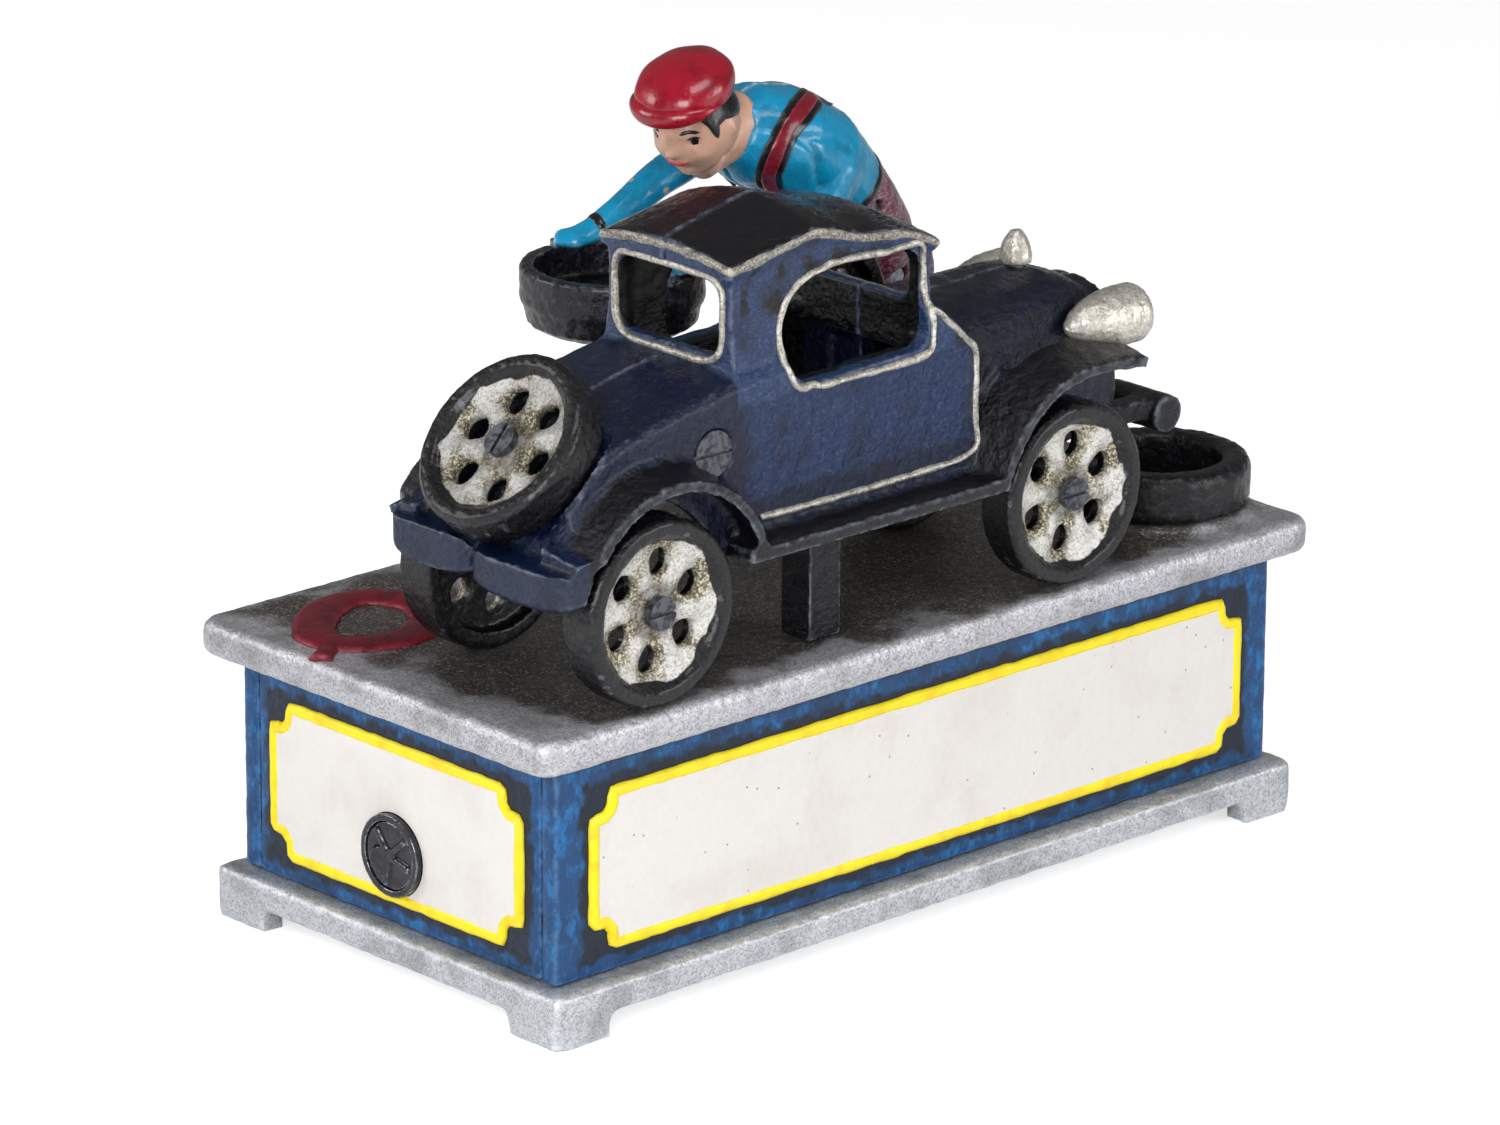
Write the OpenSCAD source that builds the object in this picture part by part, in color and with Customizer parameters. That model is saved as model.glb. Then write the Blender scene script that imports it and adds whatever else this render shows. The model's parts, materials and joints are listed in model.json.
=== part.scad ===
// Cast-iron mechanical coin bank: a plinth case carries an open car and a garage hand with a tyre tray.
// X runs along the car to its front, Y away from the viewed side, Z up; the feet stand on Z = 0.

/* [Case] */
// Length over the end walls
case_l = 188; // [176:1:196]
// Width over the side walls
case_w = 89; // [84:1:94]
// Thickness of the four walls
wall_t = 4.5; // [3.8:0.1:5]
// Height of the walls between base and deck
wall_h = 42.8; // [41:0.1:48]
// How far the plaques stand out of the walls
plaque_t = 1; // [0.6:0.1:1.5]
// Width of the border round each plaque
plaque_band = 2.4; // [1.5:0.1:4]

/* [Deck] */
// Length of the deck
deck_l = 203; // [200:1:210]
// Width of the deck
deck_w = 100; // [98:1:106]
// Thickness of the deck
deck_t = 7.2; // [6.4:0.1:9]
// Radius of the deck's corners seen from above
deck_r = 5; // [3:0.5:8]
// Chamfer along the deck's edges
deck_edge = 1.2; // [0.6:0.1:2]
// Centre of the coin slot along X
slot_x = -50; // [-52:1:-46]
// Length of the coin slot
slot_l = 28; // [26:1:30]
// Width of the coin slot
slot_w = 5; // [4.6:0.1:6]
// Height of the cast hose above the deck
hose_h = 1.2; // [0.6:0.1:2]
// Outer radius of the cast hose loop
hose_r = 17.5; // [15:0.5:18]
// Width of the cast hose
hose_band = 5.5; // [4:0.5:7]

/* [Base] */
// How far the base stands out past the end walls
base_out_x = 4; // [3:0.5:6]
// How far the base stands out past the side walls
base_out_y = 4.5; // [3:0.5:5.5]
// Height of the base plate with its feet
base_h = 10.8; // [9:0.1:12]
// Height of the feet under the rail
foot_h = 4.4; // [3:0.1:5]
// Length of each foot along the edges
foot_l = 14; // [10:1:20]

/* [Lock] */
// Radius of the lock's face
lock_r = 8.1; // [7.4:0.1:8.6]
// Height of the lock's axis
lock_z = 25; // [24.5:0.5:26]
// Radius of the turning plug
plug_r = 6.6; // [6:0.1:6.8]

/* [Car] */
// Middle plane of the car
car_y = -22; // [-22.5:0.1:-22]
// Width of the lower body
body_w = 40; // [39:0.5:41]
// Width of the cabin at the roof
cabin_w = 34; // [33:0.5:35]
// Width over the fenders
fender_w = 56; // [55:0.5:56]
// Rear axle along X
rear_x = -71.3; // [-71.5:0.1:-71]
// Front axle along X
front_x = 35.3; // [35:0.1:35.6]
// Thickness of the cast shell
shell_t = 3; // [2.4:0.1:3.2]
// Side of the square post under the car
post_w = 8.2; // [7:0.1:9]

/* [Wheels] */
// Radius of the tyres
tyre_r = 18; // [17.5:0.1:18]
// Width of the tyres
tyre_w = 9; // [8.5:0.1:9.2]
// Radius of the six-hole disc
disc_r = 14.4; // [13.5:0.1:14.8]
// Radius of the round holes in the disc
disc_hole_r = 2.5; // [2:0.1:2.7]
// Radius of the shank each wheel turns on
axle_r = 1.6; // [1.4:0.05:1.8]
// Lean of the spare wheel from upright
spare_lean = 42; // [41:0.5:43]

/* [Tyre ring on the deck] */
// Outer radius of the ring
ring_r = 18.4; // [17:0.1:18.5]
// Radius of the hole in the ring
ring_hole_r = 12; // [11.5:0.5:13]
// Height of the ring
ring_h = 10; // [8:0.5:12]

/* [Figure] */
// Middle plane of the figure
fig_y = 22; // [22:0.1:22.4]
// Hip pin along X
hip_x = 48; // [47.8:0.1:48.2]
// Hip pin height
hip_z = 106; // [105.7:0.1:106.3]
// Radius of the seat round the hip pin
seat_r = 10.2; // [10:0.1:10.4]
// Radius of the hip pin
hip_pin_r = 1.8; // [1.6:0.1:2]
// How far the figure bends, in degrees
bend = 25; // [15:1:26]
// Distance from the hip pin to the rod pin
tail_arm = 6.2; // [6:0.1:6.4]

/* [Tray] */
// Radius of the tyre-shaped tray
tray_r = 18; // [17.5:0.1:18]
// Height of the tray
tray_h = 13; // [12:0.5:14]
// Depth of the tray's recess
tray_depth = 7; // [5:0.5:8]
// Thickness of the tray's rim
rim_t = 3.2; // [3:0.1:3.6]

/* [Linkage] */
// Radius of the push rod
rod_r = 1.5; // [1.3:0.1:1.6]
// Lever pin along X
lever_x = 76; // [75.5:0.5:77]
// Lever pin height
lever_z = 38; // [37.5:0.1:38.2]
// Radius of the lever pin
lever_pin_r = 1.5; // [1.3:0.1:1.8]
// Height of the lever's bar
lever_h = 4.6; // [4:0.1:4.8]
// Thickness of the lever's bar across
lever_w = 5; // [4.5:0.1:5.2]
// How far the thumb pad stands out of the end wall
pad_out = 19; // [17:0.5:21]
// Wire radius of the return spring
wire_r = 0.45; // [0.4:0.05:0.5]
// Curls of the return spring
curls = 4; // [3:1:4]

/* [Hidden] */

$fn = 48;
fit = 0.05;           // radial clearance of a running fit
seat = 0.08;          // radial clearance of a screw in its hole
gap = 0.3;            // clearance between pieces that move past each other
joint_line = 0.04;    // half of the fine gap between the two halves of a casting
eps = 0.01;

// Levels of the plinth
under_z = base_h + wall_h;
deck_z = under_z + deck_t;
in_w = case_w / 2 - wall_t;
in_l = case_l / 2 - wall_t;
base_l = case_l + 2 * base_out_x;
base_w = case_w + 2 * base_out_y;
pad_x = case_l / 2 + pad_out;

// The part is moved along X so that its origin is the middle of its length
middle_x = (pad_x - deck_l / 2) / 2;
module placed() {
  translate([-middle_x, 0, 0]) children();
}

// Motion: the rod pin swings evenly about the level of the hip pin
rod_x = hip_x + tail_arm * cos(bend / 2);
travel = 2 * tail_arm * sin(bend / 2);
lever_arm = lever_x - rod_x;
lever_turn = atan(travel / lever_arm);
echo(travel = travel, lever_turn = lever_turn);

// Lock
lock_face = 1;
lock_len = 15;
nut_t = 3.5;
cam_t = 2;
barrel_end = 1.2;
cam_reach = 13;
cam_w = 4.4;
lock_face_x = -case_l / 2 - plaque_t - lock_face;

// Screws
screw_r = 1.5;
head_r = 2.8;
head_t = 1.8;
slot_cut = 0.7;

// Closed surface through sections that all have the same number of points
module loft(rings) {
  n = len(rings[0]);
  m = len(rings);
  points = [for (ring = rings) each ring];
  walls = [for (i = [0 : m - 2], j = [0 : n - 1])
    each [[i * n + j, (i + 1) * n + j, (i + 1) * n + (j + 1) % n],
          [i * n + j, (i + 1) * n + (j + 1) % n, i * n + (j + 1) % n]]];
  first = [for (j = [1 : n - 2]) [0, j, j + 1]];
  last = [for (j = [1 : n - 2]) [(m - 1) * n, (m - 1) * n + j + 1, (m - 1) * n + j]];
  polyhedron(points, concat(walls, first, last));
}

function unit(v) = v / norm(v);
function rev(v) = [for (i = [len(v) - 1 : -1 : 0]) v[i]];
function on_arc(x, z, r, a) = [x + r * cos(a), z + r * sin(a)];

// Oval section at p across direction d, flat measure a in the XZ plane and b across it
function oval(p, d, a, b, n) =
  let (u = unit(d), s = unit([0, 1, 0] - u * u[1]), t = cross(u, s))
  [for (k = [0 : n - 1]) p + s * b * cos(360 * k / n) + t * a * sin(360 * k / n)];

// Limb through points [x, y, z, half thickness, half width]
module limb(path, n = 14) {
  m = len(path);
  function at(i) = [path[i][0], path[i][1], path[i][2]];
  loft([for (i = [0 : m - 1])
    oval(at(i), at(min(i + 1, m - 1)) - at(max(i - 1, 0)), path[i][3], path[i][4], n)]);
}

// Flat shape in X and Z made solid from y0 to y1
module side_slab(y0, y1) {
  translate([0, y1, 0]) rotate([90, 0, 0]) linear_extrude(y1 - y0) children();
}

// Flat shape in Y and Z made solid from x0 to x1
module end_slab(x0, x1) {
  translate([x0, 0, 0]) rotate([90, 0, 90]) linear_extrude(x1 - x0) children();
}

module box(a, b) {
  translate(a) cube(b - a);
}

// All that lies on one side of the plane at y
module one_side(y, side) {
  near = y + side * joint_line;
  far = y + side * deck_l;
  box([-deck_l, min(near, far), 0], [deck_l, max(near, far), deck_l]);
}

module pin_y(x, z, y0, y1, r) {
  translate([x, y1, z]) rotate([90, 0, 0]) cylinder(h = y1 - y0, r = r);
}

// Slotted screw along +Z: the head's top is at 0 and the shank goes down
module screw(shank, r = screw_r, hr = head_r, ht = head_t) {
  difference() {
    union() {
      translate([0, 0, -ht]) cylinder(h = ht, r = hr);
      translate([0, 0, -ht - shank]) cylinder(h = shank + eps, r = r);
    }
    translate([-hr, -slot_cut / 2, -ht * 0.5]) cube([2 * hr, slot_cut, ht]);
  }
}

// Plaque outline with stepped corners, centred
module plaque(w, h, notch) {
  x = w / 2;
  z = h / 2;
  a = 0.6 * notch;
  b = 0.95 * notch;
  polygon([[-x, -z + notch], [-x + a, -z + b], [-x + b, -z + a], [-x + notch, -z],
           [x - notch, -z], [x - b, -z + a], [x - a, -z + b], [x, -z + notch],
           [x, z - notch], [x - a, z - b], [x - b, z - a], [x - notch, z],
           [-x + notch, z], [-x + b, z - a], [-x + a, z - b], [-x, z - notch]]);
}

// Raised plaque: a field and a slightly higher border
plaque_z = base_h + wall_h / 2 - 1;
plaque_h = wall_h - 10.8;
side_plaque_w = case_l - 16;
end_plaque_w = case_w - 17;
notch = 4.8;
field_drop = 0.4;

module plaque_relief(w) {
  difference() {
    linear_extrude(plaque_t) plaque(w, plaque_h, notch);
    translate([0, 0, plaque_t - field_drop])
      linear_extrude(plaque_t) plaque(w - 2 * plaque_band, plaque_h - 2 * plaque_band, notch);
  }
}

// Base plate
base_top_t = 3;
rail_t = 6;
rail_r = 2;
hook_y = -6;
hook_w = 12;
hook_z = 5;
hook_in = 9;
catch_l = 7;
catch_top = lock_z + cam_w / 2 + gap + 3;
catch_x = lock_face_x + lock_len + barrel_end + cam_t / 2 - catch_l / 2;

module foot_notches() {
  in_x = base_l / 2 - foot_l;
  in_y = base_w / 2 - foot_l;
  box([-in_x, -base_w, -1], [in_x, base_w, foot_h]);
  box([-base_l, -in_y, -1], [base_l, in_y, foot_h]);
}

module base_plate() color("silver") placed() {
  difference() {
    linear_extrude(base_h) union() {
      square([base_l - 2 * rail_r, base_w], center = true);
      square([base_l, base_w - 2 * rail_r], center = true);
      for (sx = [-1, 1], sy = [-1, 1])
        translate([sx * (base_l / 2 - rail_r), sy * (base_w / 2 - rail_r)]) circle(rail_r);
    }
    box([-base_l / 2 + rail_t, -base_w / 2 + rail_t, -1],
        [base_l / 2 - rail_t, base_w / 2 - rail_t, base_h - base_top_t]);
    foot_notches();
  }
  // Catch that the lock's cam turns under
  box([catch_x, cam_reach + 2, base_h - eps], [catch_x + catch_l, cam_reach + 6, catch_top]);
  box([catch_x, cam_reach - 4, catch_top - 3], [catch_x + catch_l, cam_reach + 2 + eps, catch_top]);
  // Hook that rests on the right end plate's ledge
  box([in_l - hook_in, hook_y, base_h - eps], [in_l - hook_in + 3, hook_y + hook_w, base_h + hook_z + 6]);
  box([in_l - hook_in + 3 - eps, hook_y, base_h + hook_z + 3],
      [in_l - 1, hook_y + hook_w, base_h + hook_z + 6]);
}

// Walls

lug_l = 10;
lug_h = 9;
ear_z = base_h + 18;
ear_in = 4;
deck_lug_z = under_z - 8;
deck_lug_x = case_l / 2 - 16;
deck_lug_y = in_w - 7;
thread_in = 3.2;

module wall_screw_places() {
  for (sx = [-1, 1], sy = [-1, 1])
    translate([sx * (in_l - lug_l / 2), sy * (in_w - ear_in), ear_z])
      rotate([sy > 0 ? 90 : -90, 0, 0]) translate([0, 0, head_t]) children();
}

module side_wall(side) {
  difference() {
    union() {
      if (side < 0) box([-case_l / 2, -case_w / 2, base_h], [case_l / 2, -in_w, under_z]);
      if (side > 0) box([-case_l / 2, in_w, base_h], [case_l / 2, case_w / 2, under_z]);
      for (sx = [-1, 1])
        translate([sx * deck_lug_x, side * (in_w - 5.5 + eps), deck_lug_z - 1.5])
          cube([12, 11, 3], center = true);
      translate([0, side * (case_w / 2 - eps), plaque_z]) rotate([90, 0, side < 0 ? 0 : 180])
        plaque_relief(side_plaque_w);
    }
    for (sx = [-1, 1]) {
      translate([sx * deck_lug_x, side * deck_lug_y, deck_lug_z - 4]) cylinder(h = 6, r = screw_r + seat);
      translate([sx * (in_l - lug_l / 2), side * (in_w - 1), ear_z]) rotate([side < 0 ? 90 : -90, 0, 0])
        cylinder(h = 1 + thread_in, r = screw_r + seat);
    }
  }
}

module end_wall(side, top_lug) {
  x0 = side < 0 ? -case_l / 2 : in_l;
  box([x0, -in_w, base_h], [x0 + wall_t, in_w, under_z]);
  for (sy = [-1, 1])
    translate([side * (in_l - lug_l / 2 + eps), sy * (in_w - ear_in / 2), ear_z])
      cube([lug_l, ear_in, lug_h], center = true);
  translate([side * (case_l / 2 - eps), 0, plaque_z]) rotate([90, 0, side < 0 ? -90 : 90])
    plaque_relief(end_plaque_w);
}

module ear_bores() {
  for (sx = [-1, 1], sy = [-1, 1])
    translate([sx * (in_l - lug_l / 2), sy * (in_w - ear_in / 2), ear_z])
      rotate([90, 0, 0]) cylinder(h = ear_in + 2, r = screw_r + seat, center = true);
}

module front_panel() color("midnightblue") placed() side_wall(-1);

module back_panel() color("midnightblue") placed() side_wall(1);

module left_end_plate() color("midnightblue") placed() difference() {
  end_wall(-1);
  ear_bores();
  translate([-case_l / 2 - plaque_t - 1, 0, lock_z]) rotate([0, 90, 0])
    cylinder(h = wall_t + plaque_t + 2, r = lock_r + seat);
}

lever_y = fig_y;
lever_slot_w = lever_w + 1.4;
lever_drop = lever_turn_z(case_l / 2);
lever_slot_low = lever_z - lever_h / 2 - lever_drop - 1;
lever_slot_top = lever_z + lever_h / 2 + 1;

module right_end_plate() color("midnightblue") placed() {
  difference() {
    end_wall(1);
    ear_bores();
    box([in_l - 1, lever_y - lever_slot_w / 2, lever_slot_low],
        [case_l / 2 + 3, lever_y + lever_slot_w / 2, lever_slot_top]);
  }
  box([in_l - 5, hook_y - 1, base_h + hook_z - 1.5], [in_l + eps, hook_y + hook_w + 1, base_h + hook_z + 2.7]);
}

// Deck

post_x = -22;
post_clear = 1.6;
post_y = head_r + post_clear - in_w;
ring_x = deck_l / 2 - 19;
ring_y = -24.5;
ring_pad = 1.5;
hose_x = -78;
hose_y = 26;
hose_tail = 5;
leg_screw_x = hip_x + 1;
leg_screw_y = 6.5;
ring_screw_d = ring_hole_r + (ring_r - ring_hole_r) / 2;
ring_screws = [120, 180];
ear_t = 3.2;
ear_r = 5;
ear_y = lever_w / 2 + gap;

module ring_screw_places() {
  for (a = ring_screws) translate([ring_x + ring_screw_d * cos(a), ring_y + ring_screw_d * sin(a), 0]) children();
}

module deck_body() {
  l = deck_l / 2 - deck_r;
  w = deck_w / 2 - deck_r;
  hull() for (sx = [-1, 1], sy = [-1, 1]) translate([sx * l, sy * w, under_z]) {
    cylinder(h = deck_t, r = deck_r - deck_edge, $fn = 32);
    translate([0, 0, deck_edge]) cylinder(h = deck_t - 2 * deck_edge, r = deck_r, $fn = 32);
  }
}

module hose_relief() {
  translate([hose_x, hose_y, deck_z - eps]) difference() {
    cylinder(h = hose_h, r1 = hose_r, r2 = hose_r - 0.6);
    translate([0, 0, -1]) cylinder(h = hose_h + 2, r = hose_r - hose_band);
  }
  // Loose end of the hose
  translate([hose_x - hose_r + 1, hose_y - 6, deck_z - eps]) rotate([0, 0, 210])
    box([0, -hose_band / 2, 0], [hose_tail, hose_band / 2, hose_h]);
}

module deck_plate() color("gray") placed() {
  difference() {
    union() {
      deck_body();
      hose_relief();
      translate([ring_x, ring_y, deck_z - eps]) cylinder(h = ring_pad + eps, r1 = ring_r + 0.4, r2 = ring_r + 0.2);
      for (sx = [-1, 1], sy = [-1, 1])
        translate([sx * deck_lug_x, sy * deck_lug_y, deck_lug_z])
          cylinder(h = under_z - deck_lug_z + eps, r = 4);
      for (sy = [-1, 1]) {
        y0 = sy > 0 ? lever_y + ear_y : lever_y - ear_y - ear_t;
        side_slab(y0, y0 + ear_t) union() {
          translate([lever_x - ear_r, lever_z]) square([2 * ear_r, under_z - lever_z + eps]);
          translate([lever_x, lever_z]) circle(ear_r);
        }
      }
    }
    box([slot_x - slot_w / 2, fig_y + 4 - slot_l / 2, under_z - 1],
        [slot_x + slot_w / 2, fig_y + 4 + slot_l / 2, deck_z + 3]);
    translate([ring_x, ring_y, deck_z - 2]) cylinder(h = ring_pad + 4, r = ring_hole_r - 0.8);
    for (sx = [-1, 1], sy = [-1, 1])
      translate([sx * deck_lug_x, sy * deck_lug_y, deck_lug_z - 1]) cylinder(h = 9, r = screw_r + seat);
    translate([rod_x, fig_y, under_z - 1]) cylinder(h = deck_t + 2, r = rod_r + fit);
    translate([post_x, post_y, under_z - 1]) cylinder(h = deck_t + 2, r = screw_r + seat);
    for (sy = [-1, 1]) {
      translate([leg_screw_x, fig_y + sy * leg_screw_y, under_z - 1])
        cylinder(h = deck_t + 2, r = screw_r + seat);
    }
    ring_screw_places() translate([0, 0, under_z - 1]) cylinder(h = deck_t + ring_pad + 3, r = screw_r + seat);
    pin_y(lever_x, lever_z, lever_y - 12, lever_y + 12, lever_pin_r + seat);
  }
}

// Fasteners of the case

module wall_screws() color("dimgray") placed() {
  wall_screw_places() screw(ear_in + thread_in - 0.4);
}

module deck_screws() color("dimgray") placed() {
  for (sx = [-1, 1], sy = [-1, 1])
    translate([sx * deck_lug_x, sy * deck_lug_y, deck_lug_z - 3 - head_t]) rotate([180, 0, 0]) screw(10);
}

// Lock

module lock_at() {
  translate([lock_face_x, 0, lock_z]) rotate([0, 90, 0]) children();
}

module lock_body() color("dimgray") placed() lock_at() difference() {
  cylinder(h = lock_len, r = lock_r);
  translate([0, 0, -1]) cylinder(h = lock_len + 2, r = plug_r + fit);
}

module lock_barrel() color("darkslategray") placed() lock_at() {
  difference() {
    translate([0, 0, 0.3]) cylinder(h = lock_len - 0.3 + barrel_end, r = plug_r);
    translate([0, 0, lock_len - 4]) cylinder(h = 8, r = 1.25 + seat);
  }
  // Raised thumb boss and four uneven ribs on the face
  translate([1.4, 2.6, -0.3]) cylinder(h = 0.7, r = 2.6);
  for (a = [8, 142, 230, 284]) rotate([0, 0, a])
    box([0, -0.6, -0.3], [plug_r - 0.6, 0.6, 0.4]);
}

module lock_nut() color("dimgray") placed() lock_at() difference() {
  translate([0, 0, lock_face + plaque_t + wall_t]) cylinder(h = nut_t, r = lock_r + 2.4, $fn = 6);
  translate([0, 0, 1]) cylinder(h = lock_len, r = lock_r + seat, $fn = 48);
}

module lock_cam() color("gray") placed() lock_at() difference() {
  translate([0, 0, lock_len + barrel_end]) {
    cylinder(h = cam_t, r = 4.4);
    box([-cam_w / 2, 0, 0], [cam_w / 2, cam_reach, cam_t]);
  }
  translate([0, 0, lock_len]) cylinder(h = 8, r = 1.25 + seat);
}

module lock_cam_screw() color("dimgray") placed() lock_at()
  translate([0, 0, lock_len + barrel_end + cam_t + 1.4]) screw(4.6, 1.25, 2.4, 1.4);

// Tyre ring standing on the deck

ring_screw_in = 3.5;

module tyre_profile(r, hole, h) {
  polygon([[hole + 0.8, 0], [r - 1.2, 0], [r, 1.4], [r, h - 2.2], [r - 0.8, h - 0.6], [r - 2, h],
           [hole + 1.6, h], [hole + 0.3, h - 0.9], [hole, h - 2.2], [hole, 1.2]]);
}

module deck_tyre() color("black") placed() difference() {
  translate([ring_x, ring_y, deck_z + ring_pad]) rotate_extrude() tyre_profile(ring_r, ring_hole_r, ring_h);
  ring_screw_places() translate([0, 0, deck_z]) cylinder(h = ring_screw_in + ring_pad + 1, r = screw_r + seat);
}

module deck_tyre_screws() color("dimgray") placed() {
  ring_screw_places() translate([0, 0, under_z - head_t]) rotate([180, 0, 0])
    screw(deck_t + ring_pad + ring_screw_in);
}

// Wheels

hub_z = deck_z + tyre_r + gap;
wheel_out = fender_w / 2 - 1;
hub_in = 2.2;
hub_r = 4.2;

// Outer plane of the tyre is at 0 and the wheel goes down to -tyre_w
module wheel(bore) {
  difference() {
    rotate_extrude() polygon([
      [bore, -hub_in], [hub_r - 0.4, -hub_in], [hub_r, -hub_in - 0.4], [6, -3.2], [11.5, -3],
      [disc_r - 0.4, -1.2], [disc_r, -0.5], [disc_r + 0.7, 0], [tyre_r - 1, 0], [tyre_r, -1],
      [tyre_r, 1 - tyre_w], [tyre_r - 1, -tyre_w], [disc_r, -tyre_w], [disc_r, -6.4],
      [hub_r, -6.4], [hub_r, -tyre_w], [bore, -tyre_w]]);
    for (i = [0 : 5]) rotate([0, 0, 60 * i + 22]) translate([9.3, 0, -tyre_w]) cylinder(h = tyre_w, r = disc_hole_r);
  }
}

module wheel_at(x, side) {
  translate([x, car_y + side * wheel_out, hub_z]) rotate([side < 0 ? 90 : -90, 0, 0]) children();
}

module wheel_front_right() color("silver") placed() wheel_at(front_x, -1) wheel(axle_r + fit);

module wheel_rear_right() color("silver") placed() wheel_at(rear_x, -1) wheel(axle_r + fit);

module wheel_front_left() color("silver") placed() wheel_at(front_x, 1) wheel(axle_r + fit);

module wheel_rear_left() color("silver") placed() wheel_at(rear_x, 1) wheel(axle_r + fit);

wheel_head_t = 1.6;
wheel_thread = 8;
module wheel_screws() color("dimgray") placed() {
  for (x = [rear_x, front_x], side = [-1, 1]) wheel_at(x, side)
    translate([0, 0, -hub_in + gap + wheel_head_t])
      screw(tyre_w - hub_in + 2 * gap + wheel_thread, axle_r, 3.2, wheel_head_t);
}

// Spare wheel, leaning on the tail of the body

spare_x = -88;
spare_z = 110.3;

module spare_at() {
  translate([spare_x, car_y, spare_z]) rotate([0, spare_lean - 90, 0]) children();
}

module spare_wheel() color("silver") placed() spare_at() wheel(axle_r + seat);

module spare_screw() color("dimgray") placed() spare_at()
  translate([0, 0, -hub_in + wheel_head_t]) screw(tyre_w - hub_in + 5, axle_r, 3.2, wheel_head_t);

// Car body

sill_z = 84;
board_t = 3;
board_z = 83.8;
cabin_x0 = -46;
cabin_x1 = 5.4;
half = body_w / 2;
roof_half = cabin_w / 2;

// Tail and door section: stations [x, shoulder height, crown]
tub = [[-90, 93, 0.5], [-88, 99.5, 0.8], [-84, 105, 1.2], [-80, 108.4, 1.6], [-75, 110.4, 1.8], [-67, 112.3, 2],
       [-60, 113.7, 2.3], [-52, 115.1, 2.3], [-45, 116.4, 2], [-20, 117.4, 2], [4.3, 121, 1], [9, 116.8, 1],
       [12.5, 113.4, 1], [15, 112.3, 1]];
across = [-1, -0.95, -0.8, -0.5, 0, 0.5, 0.8, 0.95, 1];
function tub_ring(s) = concat(
  [for (t = across) [s[0], car_y + half * t, s[1] + s[2] * (1 - t * t) - (abs(t) > 0.99 ? 1.2 : 0)]],
  [[s[0], car_y + half, sill_z], [s[0], car_y - half, sill_z]]);

module tub_body() {
  loft([for (s = tub) rev(tub_ring(s))]);
}

// Bonnet: stations [x, half width, top]
bonnet_low = 96;
bonnet = [[8, 17.5, 118.6], [16, 16.6, 117.4], [30, 15.2, 117.2], [40, 14.2, 117.6], [46, 13.4, 117.2],
          [52, 12.6, 115.2], [57, 12, 112.4]];
function bonnet_ring(s) = concat(
  [for (a = [180 : -15 : 0])
    [s[0], car_y + s[1] * sign(cos(a)) * pow(abs(cos(a)), 0.7),
     bonnet_low + 8 + (s[2] - bonnet_low - 8) * pow(sin(a), 0.7)]],
  [[s[0], car_y + s[1], bonnet_low - 12], [s[0], car_y - s[1], bonnet_low - 12]]);

module bonnet_body() {
  loft([for (s = bonnet) rev(bonnet_ring(s))]);
}

// Cabin and roof: stations [x, eaves height, crown]
roof = [[-47.2, 137.4, 2.6], [-45, 137.9, 3], [-31, 140.4, 3.6], [-25.5, 141.4, 3.8], [-20, 140.2, 3.6],
        [-13, 138.2, 3.2], [-2, 137, 2.4], [4, 134.8, 1.6], [6.8, 133.2, 1.2]];
roof_t = 2.4;
eaves = 0.8;
cabin_in = 0.9;
function roof_ring(s) = concat(
  [for (t = across) [s[0], car_y + (roof_half + eaves) * t, s[1] + s[2] * (1 - t * t)]],
  [[s[0], car_y + roof_half + eaves, s[1] - roof_t], [s[0], car_y - roof_half - eaves, s[1] - roof_t]]);
function cabin_ring(x, top) = [
  [x, car_y - half + cabin_in, 112], [x, car_y - roof_half - 0.8, 119], [x, car_y - roof_half, 125],
  [x, car_y - roof_half, top], [x, car_y + roof_half, top], [x, car_y + roof_half, 125],
  [x, car_y + roof_half + 0.8, 119], [x, car_y + half - cabin_in, 112]];

module cabin_body() {
  loft([for (s = [[-46, 136.6], [-31, 139.2], [-25.5, 140.2], [-13, 137.2], [-2, 136], [5.4, 132.8]])
    rev(cabin_ring(s[0], s[1]))]);
  loft([for (s = roof) rev(roof_ring(s))]);
}

// Fender strips: an arch from a0 to a1 about [x, z], lower at the outer edge
arch_rise = 3.2;
rear_arch = [-68.4, 79.8];
front_arch = [38.4, 80.3];
arch_r = 21.2;
function strip_ring(p, q, t, side) =
  let (yo = car_y + side * fender_w / 2, yi = car_y + side * (half - 3), k = unit(q - p))
  [[p[0], yo, p[1]], [q[0], yi, q[1]], [q[0] - k[0] * t, yi, q[1] - k[1] * t],
   [p[0] - k[0] * t * 0.8, yo, p[1] - k[1] * t * 0.8]];
function arch_points(c, r, rise, a0, a1, n) = [for (i = [0 : n])
  let (a = a0 + (a1 - a0) * i / n) [on_arc(c[0], c[1], r + board_t, a), on_arc(c[0], c[1], r + board_t + rise, a)]];
rear_points = concat([[[-93, 92.5], [-93.4, 94.5]]], arch_points(rear_arch, arch_r - 0.4, arch_rise, 146, 14, 11));
front_points = concat(arch_points(front_arch, arch_r - 0.4, arch_rise, 166, 90, 7),
  [[[45, 104], [45, 107]], [[50, 103.6], [50, 106.2]], [[53.5, 103], [54, 105]]]);

module strip(points, side) {
  rings = [for (pq = points) strip_ring(pq[0], pq[1], board_t, side)];
  loft(side < 0 ? [for (r = rings) rev(r)] : rings);
}

module fenders() {
  for (side = [-1, 1]) {
    strip(rear_points, side);
    strip(front_points, side);
    y0 = side < 0 ? car_y - fender_w / 2 : car_y + half - 3;
    box([-50.2, y0, board_z], [20.4, y0 + fender_w / 2 - half + 3, board_z + board_t]);
  }
}

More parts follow.
